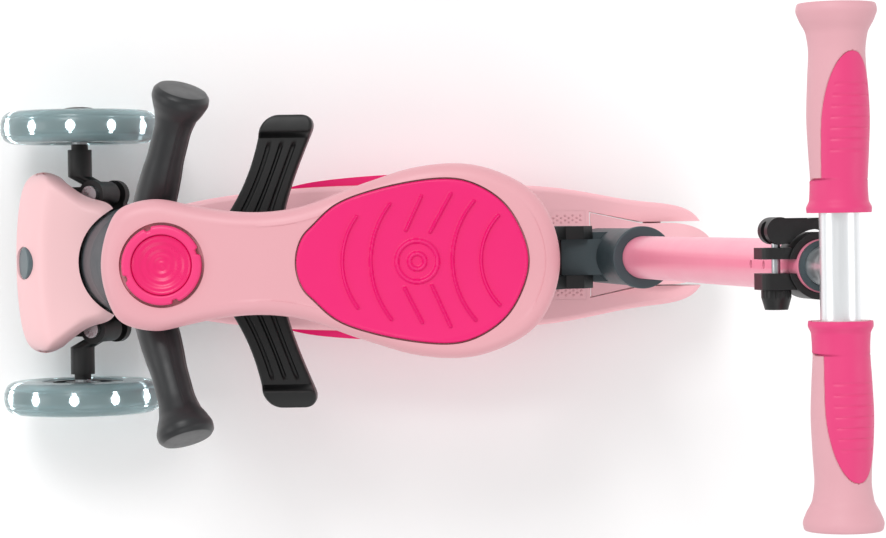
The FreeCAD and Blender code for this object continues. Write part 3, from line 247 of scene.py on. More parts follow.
# %% Give each frame piece its finish
finishes = {
    pink_shell: ["seat_shell"],
    # The deck pieces take the seat's pink, painted lighter to offset the shade they sit in.
    pink_shell_painted_lighter: ["deck_top", "brake_fender", "deck_grip_panel"],
    pink_hood: ["nose_hood"],
    magenta_shell: ["deck_lower_shell"],
    magenta_pad: ["seat_pad"],
    knob_outer: ["knob_ring"],
    knob_inner: ["knob_disc"],
    black_nylon: ["seat_frame", "footrest_left", "footrest_right", "bracket_left", "bracket_right",
                  "front_chassis", "knuckle_left", "knuckle_right", "tie_rod", "hub_cap_left",
                  "hub_cap_right", "clamp_collar",
                  "clamp_lever", "clamp_nut", "light_ring_left", "light_ring_right"],
    slate_nylon: ["front_column", "bar_socket", "stem_bush", "release_button"],
    grey_button: ["lock_button"],
    hub_plastic: ["hub_front_left", "hub_front_right", "hub_rear"],
    pink_rubber: ["grip_left", "grip_right"],
    magenta_rubber: ["grip_inlay_left", "grip_inlay_right"],
    black_rubber: ["handle_left", "handle_right"],
    clear_tyre: ["tyre_front_left", "tyre_front_right"],
    rear_tyre: ["tyre_rear"],
    anodised_bar: ["inner_bar"],
    salmon_coat: ["stem_tube"],
    zinc_steel: ["deck_stiffener", "screws", "axle_rear", "axle_nut_rear", "fender_pin", "fender_spring",
                 "kingpins", "centring_springs", "axle_front_left", "axle_front_right", "knob_stud",
                 "clamp_bolt",
                 "tie_rod_pins", "bearings_front_left", "bearings_front_right", "bearings_rear"],
}
for finish, names in finishes.items():
    for name in names:
        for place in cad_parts[name].material_slots:
            place.material = finish
print("finished", sum(len(names) for names in finishes.values()), "of", len(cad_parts), "frame pieces")

# %% [markdown]
# ## Surfaces from formulas
# A smooth moulding is easiest to describe as a grid: two numbers go in, a point comes out. Numpy works
# out the whole grid at once, and one function turns any such grid into a closed mesh.

# %% Mesh from a grid of points
def grid_piece(name, points, finish, body, replaced=(), wrap_rows=True, wrap_columns=False):
    """A mesh of four-sided faces over a (rows, columns, 3) grid; wrap joins the last line to the first."""
    rows, columns = points.shape[:2]
    index = np.arange(rows * columns).reshape(rows, columns)
    down = np.roll(index, -1, axis=0) if wrap_rows else index[1:]
    here = index if wrap_rows else index[:-1]
    if wrap_columns:
        quads = np.stack([here, np.roll(here, -1, 1), np.roll(down, -1, 1), down], -1)
    else:
        quads = np.stack([here[:, :-1], here[:, 1:], down[:, 1:], down[:, :-1]], -1)
    return mesh_piece(name, points.reshape(-1, 3), quads.reshape(-1, 4), finish, body, replaced)


def mesh_piece(name, points, faces, finish, body, replaced=()):
    """Joins doubled points, turns the faces outwards, shades smooth, and hangs the piece on its body."""
    mesh = bpy.data.meshes.new(name)
    mesh.from_pydata(points.tolist(), [], faces.tolist())
    tidy = bmesh.new()
    tidy.from_mesh(mesh)
    bmesh.ops.remove_doubles(tidy, verts=tidy.verts, dist=0.02 * mm)
    bmesh.ops.dissolve_degenerate(tidy, edges=tidy.edges, dist=0.005 * mm)
    bmesh.ops.recalc_face_normals(tidy, faces=tidy.faces)
    tidy.to_mesh(mesh)
    tidy.free()
    mesh.shade_smooth()
    mesh.set_sharp_from_angle(angle=math.radians(38))
    mesh.materials.append(finish)
    piece = bpy.data.objects.new(name, mesh)
    bpy.context.collection.objects.link(piece)
    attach(piece, body)
    if replaced:
        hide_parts(*replaced)
    print(name, len(mesh.vertices), "points")
    return piece


def carve(piece, *tools):
    """Cuts each tool's solid out of the piece and keeps the result as the piece's own mesh."""
    for tool in tools:
        step = piece.modifiers.new("cut", "BOOLEAN")
        step.operation = "DIFFERENCE"
        step.solver = "EXACT"
        step.object = tool
    bpy.context.view_layer.update()
    result = bpy.data.meshes.new_from_object(piece.evaluated_get(bpy.context.evaluated_depsgraph_get()))
    piece.modifiers.clear()
    piece.data = result
    result.shade_smooth()
    result.set_sharp_from_angle(angle=math.radians(38))
    for tool in tools:
        bpy.data.objects.remove(tool)
    return piece


def smooth_step(value, start, end):
    """0 before start, 1 after end, and an S-shaped ramp between them."""
    t = np.clip((value - start) / (end - start), 0, 1)
    return t * t * (3 - 2 * t)

# %% [markdown]
# ## Plan outlines
# The seat, pad and hood are drawn as a designer would: a few half-widths along the length, and one smooth
# closed curve through them. The curve is a periodic cubic spline, found by solving one set of equations
# for its slopes.

# %% Closed smooth outline
def closed_outline(stations, nose, tail, count):
    """Points and outward directions along the closed spline through half-widths at shares of the length."""
    half = np.array([(w * mm, nose + s * (tail - nose)) for s, w in stations])
    knots = np.vstack([[(0, nose)], half, [(0, tail)], half[::-1] * (-1, 1)])
    ahead = np.roll(knots, -1, 0)
    step = np.sqrt(np.linalg.norm(ahead - knots, axis=1))
    size = len(knots)
    before = np.roll(step, 1)
    matrix = np.diag(2 * (before + step))
    matrix[np.arange(size), (np.arange(size) + 1) % size] += step
    matrix[np.arange(size), (np.arange(size) - 1) % size] += before
    rise = (ahead - knots) / step[:, None]
    bend = np.linalg.solve(matrix, 6 * (rise - np.roll(rise, 1, 0)))
    edges = np.concatenate([[0], np.cumsum(step)])
    fine = np.linspace(0, edges[-1], 4000, endpoint=False)

    def at(t):
        k = np.clip(np.searchsorted(edges, t, side="right") - 1, 0, size - 1)
        h, a, b = step[k][:, None], (edges[k + 1] - t)[:, None], (t - edges[k])[:, None]
        n = (k + 1) % size
        return (bend[k] * a ** 3 + bend[n] * b ** 3) / (6 * h) + (knots[k] / h - bend[k] * h / 6) * a + (
            knots[n] / h - bend[n] * h / 6) * b

    walk = at(fine)
    hops = np.linalg.norm(np.diff(np.vstack([walk, walk[:1]]), axis=0), axis=1)
    length = np.concatenate([[0], np.cumsum(hops)])
    t = np.interp(np.linspace(0, length[-1], count, endpoint=False), length, np.append(fine, edges[-1]))
    points = at(t)
    way = at((t + 1e-6) % edges[-1]) - points
    way /= np.linalg.norm(way, axis=1)[:, None]
    return points, np.stack([way[:, 1], -way[:, 0]], 1)


def moulded_rows(outline, outward, rim, spine_in, top=None, under=None, rings=24):
    """Rows of a moulding: under side out to the rim, up the rim, and over the top to the middle line."""
    low, high = outline[:, 1].min(), outline[:, 1].max()
    rim_rows = [np.column_stack([outline - outward * inset, np.full(len(outline), z)]) for inset, z in rim]

    def inwards(row, height):
        middle = np.column_stack([np.zeros(len(row)), np.clip(row[:, 1], low + spine_in, high - spine_in)])
        shares = np.linspace(0, 1, rings + 1)[1:]
        rows = [np.column_stack([row[:, :2] + (middle - row[:, :2]) * s, row[:, 2]]) for s in shares]
        for r in rows:
            r[:, 2] = height(r[:, 0], r[:, 1], row[:, 2])
        return rows

    def flat(x, y, z):
        return z

    start = inwards(rim_rows[0], under or flat)[::-1]
    end = inwards(rim_rows[-1], top or flat)
    return np.array(start + rim_rows + end)


def prism_tool(stations, nose, tail, grow, low, high):
    """A plain upright solid over an outline, grown sideways, to cut with."""
    line, out = closed_outline(stations, nose, tail, 240)
    line = line + out * grow
    ring = [np.column_stack([line, np.full(len(line), z)]) for z in (low, high)]
    mid = [np.column_stack([np.zeros(len(line)), np.clip(line[:, 1], nose + 0.02, tail - 0.02),
                            np.full(len(line), z)]) for z in (low, high)]
    return bare_grid(np.array([mid[0], ring[0], ring[1], mid[1]]))


def round_tool(centre, radius, low, high, count=96):
    """A plain upright round solid to cut with."""
    a = np.linspace(0, 2 * math.pi, count, endpoint=False)

    def ring(r, z):
        x, y = centre[0] + r * np.cos(a), centre[1] + r * np.sin(a)
        return np.column_stack([x, y, np.full(count, z)])

    return bare_grid(np.array([ring(0, low), ring(radius, low), ring(radius, high), ring(0, high)]))


def bare_grid(points):
    """A closed mesh object from rows of points, used only as a cutting tool."""
    rows, columns = points.shape[:2]
    index = np.arange(rows * columns).reshape(rows, columns)
    quads = np.stack([index[:-1], np.roll(index[:-1], -1, 1), np.roll(index[1:], -1, 1), index[1:]], -1)
    mesh = bpy.data.meshes.new("tool")
    mesh.from_pydata(points.reshape(-1, 3).tolist(), [], quads.reshape(-1, 4).tolist())
    tidy = bmesh.new()
    tidy.from_mesh(mesh)
    bmesh.ops.remove_doubles(tidy, verts=tidy.verts, dist=0.01 * mm)
    bmesh.ops.recalc_face_normals(tidy, faces=tidy.faces)
    tidy.to_mesh(mesh)
    tidy.free()
    tool = bpy.data.objects.new("tool", mesh)
    bpy.context.collection.objects.link(tool)
    return tool


def rod_tool(start, end, start_r, end_r, count=72):
    """A round solid between two points, to cut with; its two radii may differ."""
    start, end = np.array(start, float), np.array(end, float)
    along = (end - start) / np.linalg.norm(end - start)
    side = np.cross(along, [1.0, 0, 0])
    side /= np.linalg.norm(side)
    third = np.cross(along, side)
    a = np.linspace(0, 2 * math.pi, count, endpoint=False)[:, None]

    def ring(place, r):
        return place + r * (np.cos(a) * side + np.sin(a) * third)

    return bare_grid(np.array([ring(start, 0), ring(start, start_r), ring(end, end_r), ring(end, 0)]))

# %% [markdown]
# ## Nose hood
# The hood is bell-shaped in plan. Its front face climbs steeply to a soft crease, then the top runs level
# back to the column. Height is the smaller of two ramps, one measured from the front edge and one from
# the nearest edge.

# %% Nose hood
hood_low, hood_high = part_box("nose_hood")
hood_stations = [(0.022, 36), (0.1, 62), (0.2, 68.5), (0.32, 69), (0.5, 61), (0.72, 49.5), (0.93, 42.5)]
hood_wall = 2.5 * mm
outline, outward = closed_outline(hood_stations, hood_low[1], hood_high[1], 360)
rim_z = 79.6 * mm
lip_start, lip_end = hood_low[1] + 33 * mm, hood_low[1] + 41 * mm
lip = hood_low[2] + (rim_z - hood_low[2]) * smooth_step(outline[:, 1], lip_start, lip_end)
front = outline[:, 1] < hood_low[1] + 0.03
order = np.argsort(outline[front, 0])
front_x, front_y = outline[front][order].T


def hood_height(x, y, inset):
    """Front ramp and edge ramp joined by a soft minimum, from the lip's height to the top's."""
    ahead = y - np.interp(np.abs(x), front_x[front_x >= 0], front_y[front_x >= 0])
    climb = 0.28 + 0.72 * np.sin(np.clip(ahead / (30 * mm), 0, 1) * math.pi / 2) ** 0.9
    edge = 0.28 + 0.72 * np.sqrt(np.clip(1 - (1 - np.clip(inset / (11 * mm), 0, 1)) ** 2, 0, 1))
    lower_of_two = (climb + edge - np.sqrt((climb - edge) ** 2 + 0.004)) / 2
    return hood_low[2] + (hood_high[2] - hood_low[2]) * lower_of_two


def hood_rows(shrink, drop, shares):
    """Rows from the rim in to the middle line, shrunk and lowered by the given amounts."""
    edge = outline - outward * shrink
    middle_y = np.clip(edge[:, 1], hood_low[1] + 0.03, hood_high[1] - 0.03)
    middle = np.column_stack([np.zeros(len(edge)), middle_y])
    rows = []
    for share in shares:
        flat = edge + (middle - edge) * share
        inset = share * np.linalg.norm(middle - edge, axis=1)
        height = hood_height(flat[:, 0], flat[:, 1], inset) - drop
        rows.append(np.column_stack([flat, np.maximum(height, lip + 0.3 * mm * (share > 0))]))
    return rows


shares = np.concatenate([[0], np.linspace(0.004, 0.3, 22), np.linspace(0.33, 1, 16)])
outer_rows, inner_rows = hood_rows(0, 0, shares), hood_rows(hood_wall, hood_wall, shares)
foot = [np.column_stack([outline - outward * hood_wall, lip]), np.column_stack([outline, lip])]
hood_points = np.array(inner_rows[::-1] + foot + outer_rows)
hood = grid_piece("nose_hood_skin", hood_points, pink_hood, "root", ["nose_hood"],
                  wrap_rows=False, wrap_columns=True)
button_low, button_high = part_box("lock_button")
button_at = np.array((button_low + button_high) / 2)
button_way = np.array([0, -math.sin(math.radians(65)), math.cos(math.radians(65))])
column_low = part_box("front_column")[0]
column_foot = np.array([0, column_low[1] + 42 * mm, column_low[2]])
column_way = np.array([0, math.tan(math.radians(13.4)), 1.0])
carve(hood, rod_tool(button_at - button_way * 0.03, button_at + button_way * 0.03, 12.6 * mm, 12.6 * mm),
      rod_tool(column_foot - column_way * 0.02, column_foot + column_way * 0.06, 43.5 * mm, 43.5 * mm))

# %% [markdown]
# ## Seat shell
# The seat is one waisted moulding, wide behind and narrow where the legs go, with a soft rolled edge. Its
# outline is carried inwards and upwards round a quarter circle, then the top dips slightly to a saddle.
# The recess for the pad and the well for the knob are cut out of it, so their edges stay crisp.

# %% Seat shell
seat_low, seat_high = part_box("seat_shell")
seat_top = seat_high[2]
pad_low, pad_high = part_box("seat_pad")
knob_low, knob_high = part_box("knob_ring")
knob_centre = (knob_low + knob_high) / 2
seat_stations = [(0.021, 30), (0.05, 41), (0.115, 46), (0.155, 44.5), (0.25, 38.3), (0.36, 36), (0.455, 41),
                 (0.54, 51), (0.61, 58.6), (0.675, 64.8), (0.765, 68), (0.825, 66), (0.88, 60), (0.937, 49),
                 (0.978, 31)]
pad_stations = [(0.03, 18), (0.075, 25.8), (0.165, 38.8), (0.315, 48.5), (0.44, 53.3), (0.655, 57),
                (0.785, 52), (0.895, 39.7), (0.966, 22)]
edge_r = 10 * mm
wall = 3 * mm


def seat_camber(x, y, z):
    """The top: level at the rolled edge, falling a millimetre towards the middle line behind the knob."""
    behind = smooth_step(y, knob_centre[1] + 0.03, knob_centre[1] + 0.09)
    return z - 1.1 * mm * behind * smooth_step(-np.abs(x), -0.06, -0.01)


outline, outward = closed_outline(seat_stations, seat_low[1], seat_high[1], 420)
turns = np.linspace(0, math.pi / 2, 9)
rim = [(wall + 1 * mm, seat_top - wall - 6 * mm), (wall, seat_top - wall - 9 * mm),
       (wall, seat_low[2] + 1 * mm),
       (wall - 0.5 * mm, seat_low[2]), (0.8 * mm, seat_low[2]), (0, seat_low[2] + 0.8 * mm)]
rim += [(edge_r * (1 - math.cos(a)), seat_top - edge_r + edge_r * math.sin(a)) for a in turns]
rows = moulded_rows(outline, outward, rim, 0.03, top=seat_camber, rings=30)
seat = grid_piece("seat_shell_skin", rows, pink_shell, "root", ["seat_shell"], wrap_rows=False,
                  wrap_columns=True)
cut_low, cut_high = pad_low[2] - 0.1 * mm, seat_top + 5 * mm
pad_room, well_r = 1.1 * mm, 29.7 * mm
carve(seat, prism_tool(pad_stations, pad_low[1], pad_high[1], pad_room, cut_low, cut_high),
      round_tool(knob_centre, well_r, cut_low, cut_high))

# %% [markdown]
# ## Seat pad
# The pad is a slightly dished insert with raised ribs that keep a child from sliding. The ribs are curved
# bars, leaning short bars, and plain rings in the middle. Each is a smooth bump in height along its own
# centre line.

# %% Seat pad
pad_middle = np.array([0.0, pad_low[1] + 84 * mm])


def bump(distance, half_width, soft):
    """1 on a line, falling smoothly to 0 past its half width."""
    return 1 - smooth_step(distance, half_width - soft, half_width + soft)


def near_bar(x, y, start, end):
    """Distance from points to a straight bar between two ends."""
    start, end = np.array(start) * mm, np.array(end) * mm
    way = end - start
    t = np.clip(((x - start[0]) * way[0] + (y - start[1]) * way[1]) / (way @ way), 0, 1)
    return np.hypot(x - start[0] - t * way[0], y - start[1] - t * way[1])


def near_arc(x, y, middle_y, half_span, sag):
    """Distance to a circle arc crossing the middle line at middle_y, swung back by sag at both ends."""
    radius = (half_span ** 2 + sag ** 2) / (2 * sag) * mm
    centre_y = middle_y + radius
    reach = math.asin(half_span * mm / radius)
    angle = np.arctan2(x, centre_y - y)
    held = np.clip(angle, -reach, reach)
    return np.hypot(x - radius * np.sin(held), y - (centre_y - radius * np.cos(held)))


arcs = [(-52, 31.7, 10.4), (-32.2, 39.9, 13.8), (24.6, 41.2, 15.5), (44.4, 31.0, 12.5)]
bars = [((42.5, 3), (18.4, -9)), ((45.4, 22.5), (17, 10)), ((-21.7, -7.5), (-45.1, 3.5)),
        ((-20.2, 9.3), (-46.5, 24))]
rib_half, rib_soft, rib_height = 0.9 * mm, 0.6 * mm, 2.0 * mm


def pad_height(x, y, z):
    """A shallow dish, plus every rib as a rounded bump two millimetres high."""
    rel_x, rel_y = x, y - pad_middle[1]
    dish = -2.4 * mm * np.clip(1 - (rel_x / 0.056) ** 2 - (rel_y / 0.08) ** 2, 0, 1)
    relief = np.zeros_like(x)
    for middle_y, half_span, sag in arcs:
        distance = near_arc(rel_x, rel_y, middle_y * mm, half_span, sag)
        relief = np.maximum(relief, bump(distance, rib_half, rib_soft))
    for start, end in bars:
        relief = np.maximum(relief, bump(near_bar(rel_x, rel_y, start, end), rib_half, rib_soft))
    ring = np.hypot(rel_x, rel_y)
    for radius in (5.4, 14.2):
        relief = np.maximum(relief, bump(np.abs(ring - radius * mm), 1.3 * mm, 0.8 * mm))
    return z + dish + rib_height * relief


pad_top = pad_high[2] - 1.5 * mm
outline, outward = closed_outline(pad_stations, pad_low[1], pad_high[1], 560)
rim = [(0.2 * mm, pad_low[2] + 0.1 * mm), (0, pad_low[2] + 0.5 * mm)]
round_r = 1.6 * mm
quarter = np.linspace(0, math.pi / 2, 5)
rim += [(round_r * (1 - math.cos(a)), pad_top - round_r + round_r * math.sin(a)) for a in quarter]
rows = moulded_rows(outline, outward, rim, 0.035, top=pad_height, rings=76)
rows = rows[70:]
grid_piece("seat_pad_skin", rows, magenta_pad, "root", ["seat_pad"], wrap_rows=False,
           wrap_columns=True)

# %% [markdown]
# ## Turned pieces
# Knobs, tyres, handles and grips are round. A profile of distance and radius is swung round an axis, and
# a second function may push the surface in or out by where it is round the axis, which makes notches and
# panels.

# %% Turned surface
def turned(name, profile, start, along, finish, body, replaced=(), count=96, shift=None,
           side=None):
    """Swings (distance, radius) pairs round an axis; shift(distance, angle, radius) may change it."""
    along = np.array(along, float) / np.linalg.norm(along)
    side = np.array(side if side is not None else ((0, 0, 1) if abs(along[2]) < 0.9 else (1, 0, 0)), float)
    side -= along * (side @ along)
    side /= np.linalg.norm(side)
    third = np.cross(along, side)
    table = np.array(profile, float)
    angle = np.linspace(0, 2 * math.pi, count, endpoint=False)
    distance, turn = np.meshgrid(table[:, 0], angle, indexing="ij")
    radius = np.repeat(table[:, 1:2], count, 1)
    if shift:
        radius = np.where(radius > 0, shift(distance, turn, radius), radius)
    points = np.array(start) + distance[..., None] * along + radius[..., None] * (
        np.cos(turn)[..., None] * side + np.sin(turn)[..., None] * third)
    return grid_piece(name, points, finish, body, replaced, wrap_rows=False, wrap_columns=True)


def eased(knots, count):
    """A smooth profile: a cubic through (distance, radius) knots that never overshoots them."""
    x, r = np.array(knots, float).T
    gap = np.diff(x)
    slope = np.diff(r) / gap
    product = slope[:-1] * slope[1:]
    inner = np.where(product > 0, 2 * product / (slope[:-1] + slope[1:] + 1e-12), 0)
    m = np.concatenate([[slope[0]], inner, [slope[-1]]])
    at = np.linspace(x[0], x[-1], count)
    k = np.clip(np.searchsorted(x, at, side="right") - 1, 0, len(gap) - 1)
    t = (at - x[k]) / gap[k]
    value = (r[k] * (1 + 2 * t) * (1 - t) ** 2 + m[k] * gap[k] * t * (1 - t) ** 2
             + r[k + 1] * t * t * (3 - 2 * t) + m[k + 1] * gap[k] * t * t * (t - 1))
    return np.column_stack([at, value])


def arc_profile(centre, radius, start, end, count):
    """Points of a circle arc in a profile, from one angle to another in degrees."""
    a = np.radians(np.linspace(start, end, count))
    return [(centre[0] + radius * math.cos(t), centre[1] + radius * math.sin(t)) for t in a]

# %% [markdown]
# ## Seat knob
# The knob locks the seat to the column. Its outer ring has four finger notches, and its middle is a
# shallow dish with fine turned rings.

# %% Knob ring and disc
ring_r = (knob_high[0] - knob_low[0]) / 2 + 0.05 * mm
ring_h = knob_high[2] - knob_low[2]
inner_r = 21.2 * mm


def notched(distance, turn, radius):
    """Four shallow round notches in the outer wall only."""
    phase = np.abs((turn - math.radians(20) + math.pi / 4) % (math.pi / 2) - math.pi / 4)
    depth = bump(phase * ring_r, 2.2 * mm, 0.7 * mm) * 2.2 * mm
    return radius - depth * (radius > ring_r - 2.5 * mm)


profile = [(0.2 * mm, inner_r), (0.2 * mm, ring_r - 0.3 * mm), (0.6 * mm, ring_r)]
profile += arc_profile((ring_h - 2.4 * mm, ring_r - 2.4 * mm), 2.4 * mm, 90, 0, 7)
profile += arc_profile((ring_h - 1.4 * mm, inner_r + 1.4 * mm), 1.4 * mm, 0, -90, 6)
profile += [(0.2 * mm, inner_r)]
knob_foot = (knob_centre[0], knob_centre[1], knob_low[2])
turned("knob_ring_skin", profile, knob_foot, (0, 0, 1), knob_outer, "knob", ["knob_ring"],
       count=240, shift=notched)
steps = np.linspace(0, inner_r - 1.6 * mm, 60)
dish = 3.4 * mm * (1 - (steps / inner_r) ** 2)
ripple = 0.22 * mm * np.sin(steps / mm * 2 * math.pi / 5.0)
disc_top = ring_h - 1.6 * mm
profile = [(0.3 * mm, 0), (0.3 * mm, inner_r - 0.2 * mm), (disc_top - 0.8 * mm, inner_r - 0.2 * mm),
           (disc_top, inner_r - 0.9 * mm)]
profile += [(disc_top - d + w, r) for r, d, w in zip(steps[::-1], dish[::-1], ripple[::-1])]
turned("knob_disc_skin", profile, knob_foot, (0, 0, 1), knob_inner, "knob", ["knob_disc"],
       count=128)

# %% [markdown]
# ## Tyres
# Each front tyre is a rounded ring of clear resin, with a fine groove each side where the mould halves
# met the tread. The rear tyre is wider and flatter. A power curve gives their sections: the power sets
# how square they are.

# %% Tyres
def tyre(name, node, finish, body, square, hub_r):
    """A closed ring whose outer section follows |x|^n + |y|^n = 1, with two fine tread lines."""
    low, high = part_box(node)
    centre, outer = (low + high) / 2, (high[2] - low[2]) / 2
    half = (high[0] - low[0]) / 2
    crown = half * 0.95
    a = np.linspace(-math.pi / 2, math.pi / 2, 49)
    across = np.sign(np.sin(a)) * np.abs(np.sin(a)) ** (2 / square) * half
    radius = outer - crown + np.abs(np.cos(a)) ** (2 / square) * crown
    for line in (-0.55, 0.55):
        radius = radius - 0.45 * mm * bump(np.abs(across - line * half), 0.5 * mm, 0.35 * mm)
    wall_in = [(half, hub_r + 2.2 * mm), (half - 0.8 * mm, hub_r + 0.4 * mm), (0, hub_r + 0.1 * mm),
               (-half + 0.8 * mm, hub_r + 0.4 * mm), (-half, hub_r + 2.2 * mm)]
    profile = list(zip(across, radius)) + wall_in + [(across[0], radius[0])]
    return turned(name, profile, centre, (1, 0, 0), finish, body, [node], count=160)


for name in ("left", "right"):
    tyre("tyre_front_skin_" + name, "tyre_front_" + name, clear_tyre, "wheel_front_" + name,
         2.5, 31 * mm)
tyre("tyre_rear_skin", "tyre_rear", rear_tyre, "wheel_rear", 3.2, 22 * mm)

# %% [markdown]
# The lamps sit on a dark ring in the tyre: ten little domes, each a half ball pointing outwards to the
# tread.

# %% Lamps
lamp_count, lamp_r = 10, 3.4 * mm
dome_turn = np.linspace(0, 2 * math.pi, 20, endpoint=False)
dome_rise = np.linspace(0, math.pi / 2, 7)


def dome_rows(base, outwards, side, third, radius):
    """A dome and its flat base, as rows from the base's middle to the dome's tip."""
    flat = [(0.0, 0.0), (radius, 0.0)]
    curve = [(radius * math.cos(a), radius * math.sin(a)) for a in dome_rise[1:]]
    circle = np.cos(dome_turn)[:, None] * side + np.sin(dome_turn)[:, None] * third
    return np.array([base + outwards * h + r * circle for r, h in flat + curve])


for name in ("left", "right"):
    low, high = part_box("light_ring_" + name)
    centre, ring_out = np.array((low + high) / 2), (high[2] - low[2]) / 2
    for number in range(lamp_count):
        a = 2 * math.pi * (number + 0.5) / lamp_count
        outwards = np.array([0, math.cos(a), math.sin(a)])
        rows = dome_rows(centre + outwards * (ring_out - 2.6 * mm), outwards, np.array([1.0, 0, 0]),
                         np.cross(outwards, [1.0, 0, 0]), lamp_r)
        grid_piece("lamp_%s_%d" % (name, number), rows, white_lamp, "wheel_front_" + name, wrap_rows=False,
                   wrap_columns=True)

# %% [markdown]
# ## Grip handles
# The child's handles are black rubber mushrooms: a round root, a slimmer waist for the fingers, and a
# flared end. A long flat panel is pressed into the side that faces the rider's palm.

# %% Grip handles
handle_start_x, handle_end_x = 16 * mm, 122 * mm
handle_back, handle_axis_z = 17 * mm, 228.6 * mm
sweep, rise = math.radians(16.7), math.radians(20)
handle_knots = [(0, 15.0), (36, 15.0), (50, 14.4), (66, 13.2), (82, 13.2), (94, 15.2), (102, 18.6),
                (107.5, 20.3), (111, 20.0), (114, 17.6)]
for side_name, sign in (("left", -1), ("right", 1)):
    along = np.array([sign, math.tan(sweep), math.tan(rise)])
    length = (handle_end_x - handle_start_x) * np.linalg.norm(along)
    knots = [(d / handle_knots[-1][0] * length, r * mm) for d, r in handle_knots]
    body_rows = eased(knots, 120)
    end_r = knots[-1][1]
    cap = [(length + 0.6 * mm * math.sin(t), end_r * math.cos(t)) for t in np.linspace(0.15, math.pi / 2, 10)]
    profile = [(0.2 * mm, 0.0)] + [(0.2 * mm, 15 * mm)] + body_rows[1:].tolist() + cap

    def panelled(distance, turn, radius, length=length, sign=sign):
        """Presses in a long rounded panel on the rear upper side."""
        towards = np.abs((turn - math.radians(sign * -62) + math.pi) % (2 * math.pi) - math.pi)
        run = smooth_step(distance, 0.30 * length, 0.34 * length)
        run = run * (1 - smooth_step(distance, 0.80 * length, 0.86 * length))
        return radius - 0.9 * mm * run * bump(towards * 14, 9.0, 1.2)

    start_z = handle_axis_z - handle_start_x * math.tan(rise)
    start = np.array([sign * handle_start_x, knob_centre[1] - handle_back, start_z])
    turned("handle_skin_" + side_name, profile, start, along, black_rubber, "root", ["handle_" + side_name],
           count=144, shift=panelled)

# %% [markdown]
# ## Footrests
# A footrest is a slab whose middle line bends back, with three grooves along the top and a thick rounded
# end. Each cross section is a rounded box, and the path says where its centre lies.

# %% Footrests
rest_low, rest_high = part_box("footrest_right")
rest_top = 176 * mm
root_x, bend_x, tip_x = rest_low[0], 36 * mm, rest_high[0]
rest_middle = rest_low[1] + 20.5 * mm
reach = (tip_x - bend_x) * math.tan(math.radians(20))
tip_r = 12 * mm
along = np.concatenate([np.linspace(root_x, bend_x, 8), np.linspace(bend_x, tip_x - tip_r, 50)[1:],
                        tip_x - tip_r * (1 - np.sin(np.linspace(0.1, math.pi / 2, 13)))])
share = np.clip((along - bend_x) / (tip_x - bend_x), 0, 1)
line_y = rest_middle + reach * (1.22 * share - 0.22 * share ** 2)
end_round = np.sqrt(np.clip(1 - np.clip((along - tip_x + tip_r) / tip_r, 0, 1) ** 2, 0, 1))
half_width = (20.5 - 3.2 * np.sin(math.pi * share ** 0.8)) * mm - tip_r * (1 - end_round)
lip_up = 6 * mm * smooth_step(along, tip_x - 17 * mm, tip_x - 12 * mm) * (0.55 + 0.45 * end_round)
across = np.linspace(-1, 1, 81)
ease = np.sign(across) * (1 - (1 - np.abs(across)) ** 1.35)
round_off = 3 * mm * (1 - np.sqrt(np.clip(1 - np.clip((np.abs(ease) - 0.86) / 0.14, 0, 1) ** 2, 0, 1)))
groove = sum(bump(np.abs(ease - g), 0.075, 0.03) for g in (-0.5, 0.0, 0.5))
groove_run = smooth_step(along, root_x + 14 * mm, root_x + 20 * mm)
groove_run = groove_run * (1 - smooth_step(along, tip_x - 24 * mm, tip_x - 19 * mm))
top_z = rest_top + lip_up[:, None] - round_off[None, :] - 1.8 * mm * groove[None, :] * groove_run[:, None]
low_z = rest_top - 20 * mm + 0.6 * round_off[None, :] + 6 * mm * (1 - end_round)[:, None]
low_z = low_z + np.zeros_like(top_z)
side_y = line_y[:, None] + ease[None, :] * half_width[:, None]


def shut(ring):
    """The last row, drawn together to its middle."""
    return np.repeat(ring.mean(axis=1, keepdims=True), ring.shape[1], axis=1)


for side_name, sign in (("left", -1), ("right", 1)):
    x = np.repeat(sign * along[:, None], 81, 1)
    upper, lower = np.stack([x, side_y, top_z], -1), np.stack([x, side_y, low_z], -1)
    loop = np.concatenate([upper, lower[:, ::-1]], axis=1)
    loop = np.concatenate([shut(loop[:1]), loop, shut(loop[-1:])], axis=0)
    grid_piece("footrest_skin_" + side_name, loop, black_nylon, "root", ["footrest_" + side_name],
               wrap_rows=False, wrap_columns=True)

# %% [markdown]
# ## Handlebar grips
# Each grip has a light pink body with a flared guard and a magenta inlay: a collar at the inner end that
# runs on as a tongue along the palm. Seven fine lines cross the tongue. Body and inlay follow one radius
# formula, so they fit.

# %% Grips and inlays
grip_low, grip_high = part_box("grip_right")
grip_start, grip_end = grip_low[0], grip_high[0]
bar_axis = np.array([0, (grip_low[1] + grip_high[1]) / 2, (grip_low[2] + grip_high[2]) / 2])
grip_r = (grip_high[2] - grip_low[2]) / 2
grip_length = grip_end - grip_start
grip_knots = [(0, 17.3), (2.5, 17.6), (7, 15.9), (16, 15.5), (34, 16.4), (52, 17.1), (72, 16.4), (88, 15.6),
              (98, 16.8), (106, 20.6), (111, grip_r / mm - 0.1), (114, grip_r / mm - 0.6)]
grip_rows = eased([(d * mm, r * mm) for d, r in grip_knots], 150)
palm = math.radians(25)


def tongue_half(distance):
    """Half angle of the tongue: all round at the collar, then a rounded blade that closes near the guard."""
    collar = 1 - smooth_step(distance, 17 * mm, 20 * mm)
    share = np.clip((distance - 18 * mm) / (70 * mm), 0, 1)
    blade = 1.05 * np.sqrt(np.clip(1 - np.clip((share - 0.35) / 0.65, 0, 1) ** 2.4, 0, 1))
    blade = blade * (1.18 - 0.2 * share)
    return np.maximum(collar * math.pi, blade * (distance < 88 * mm))


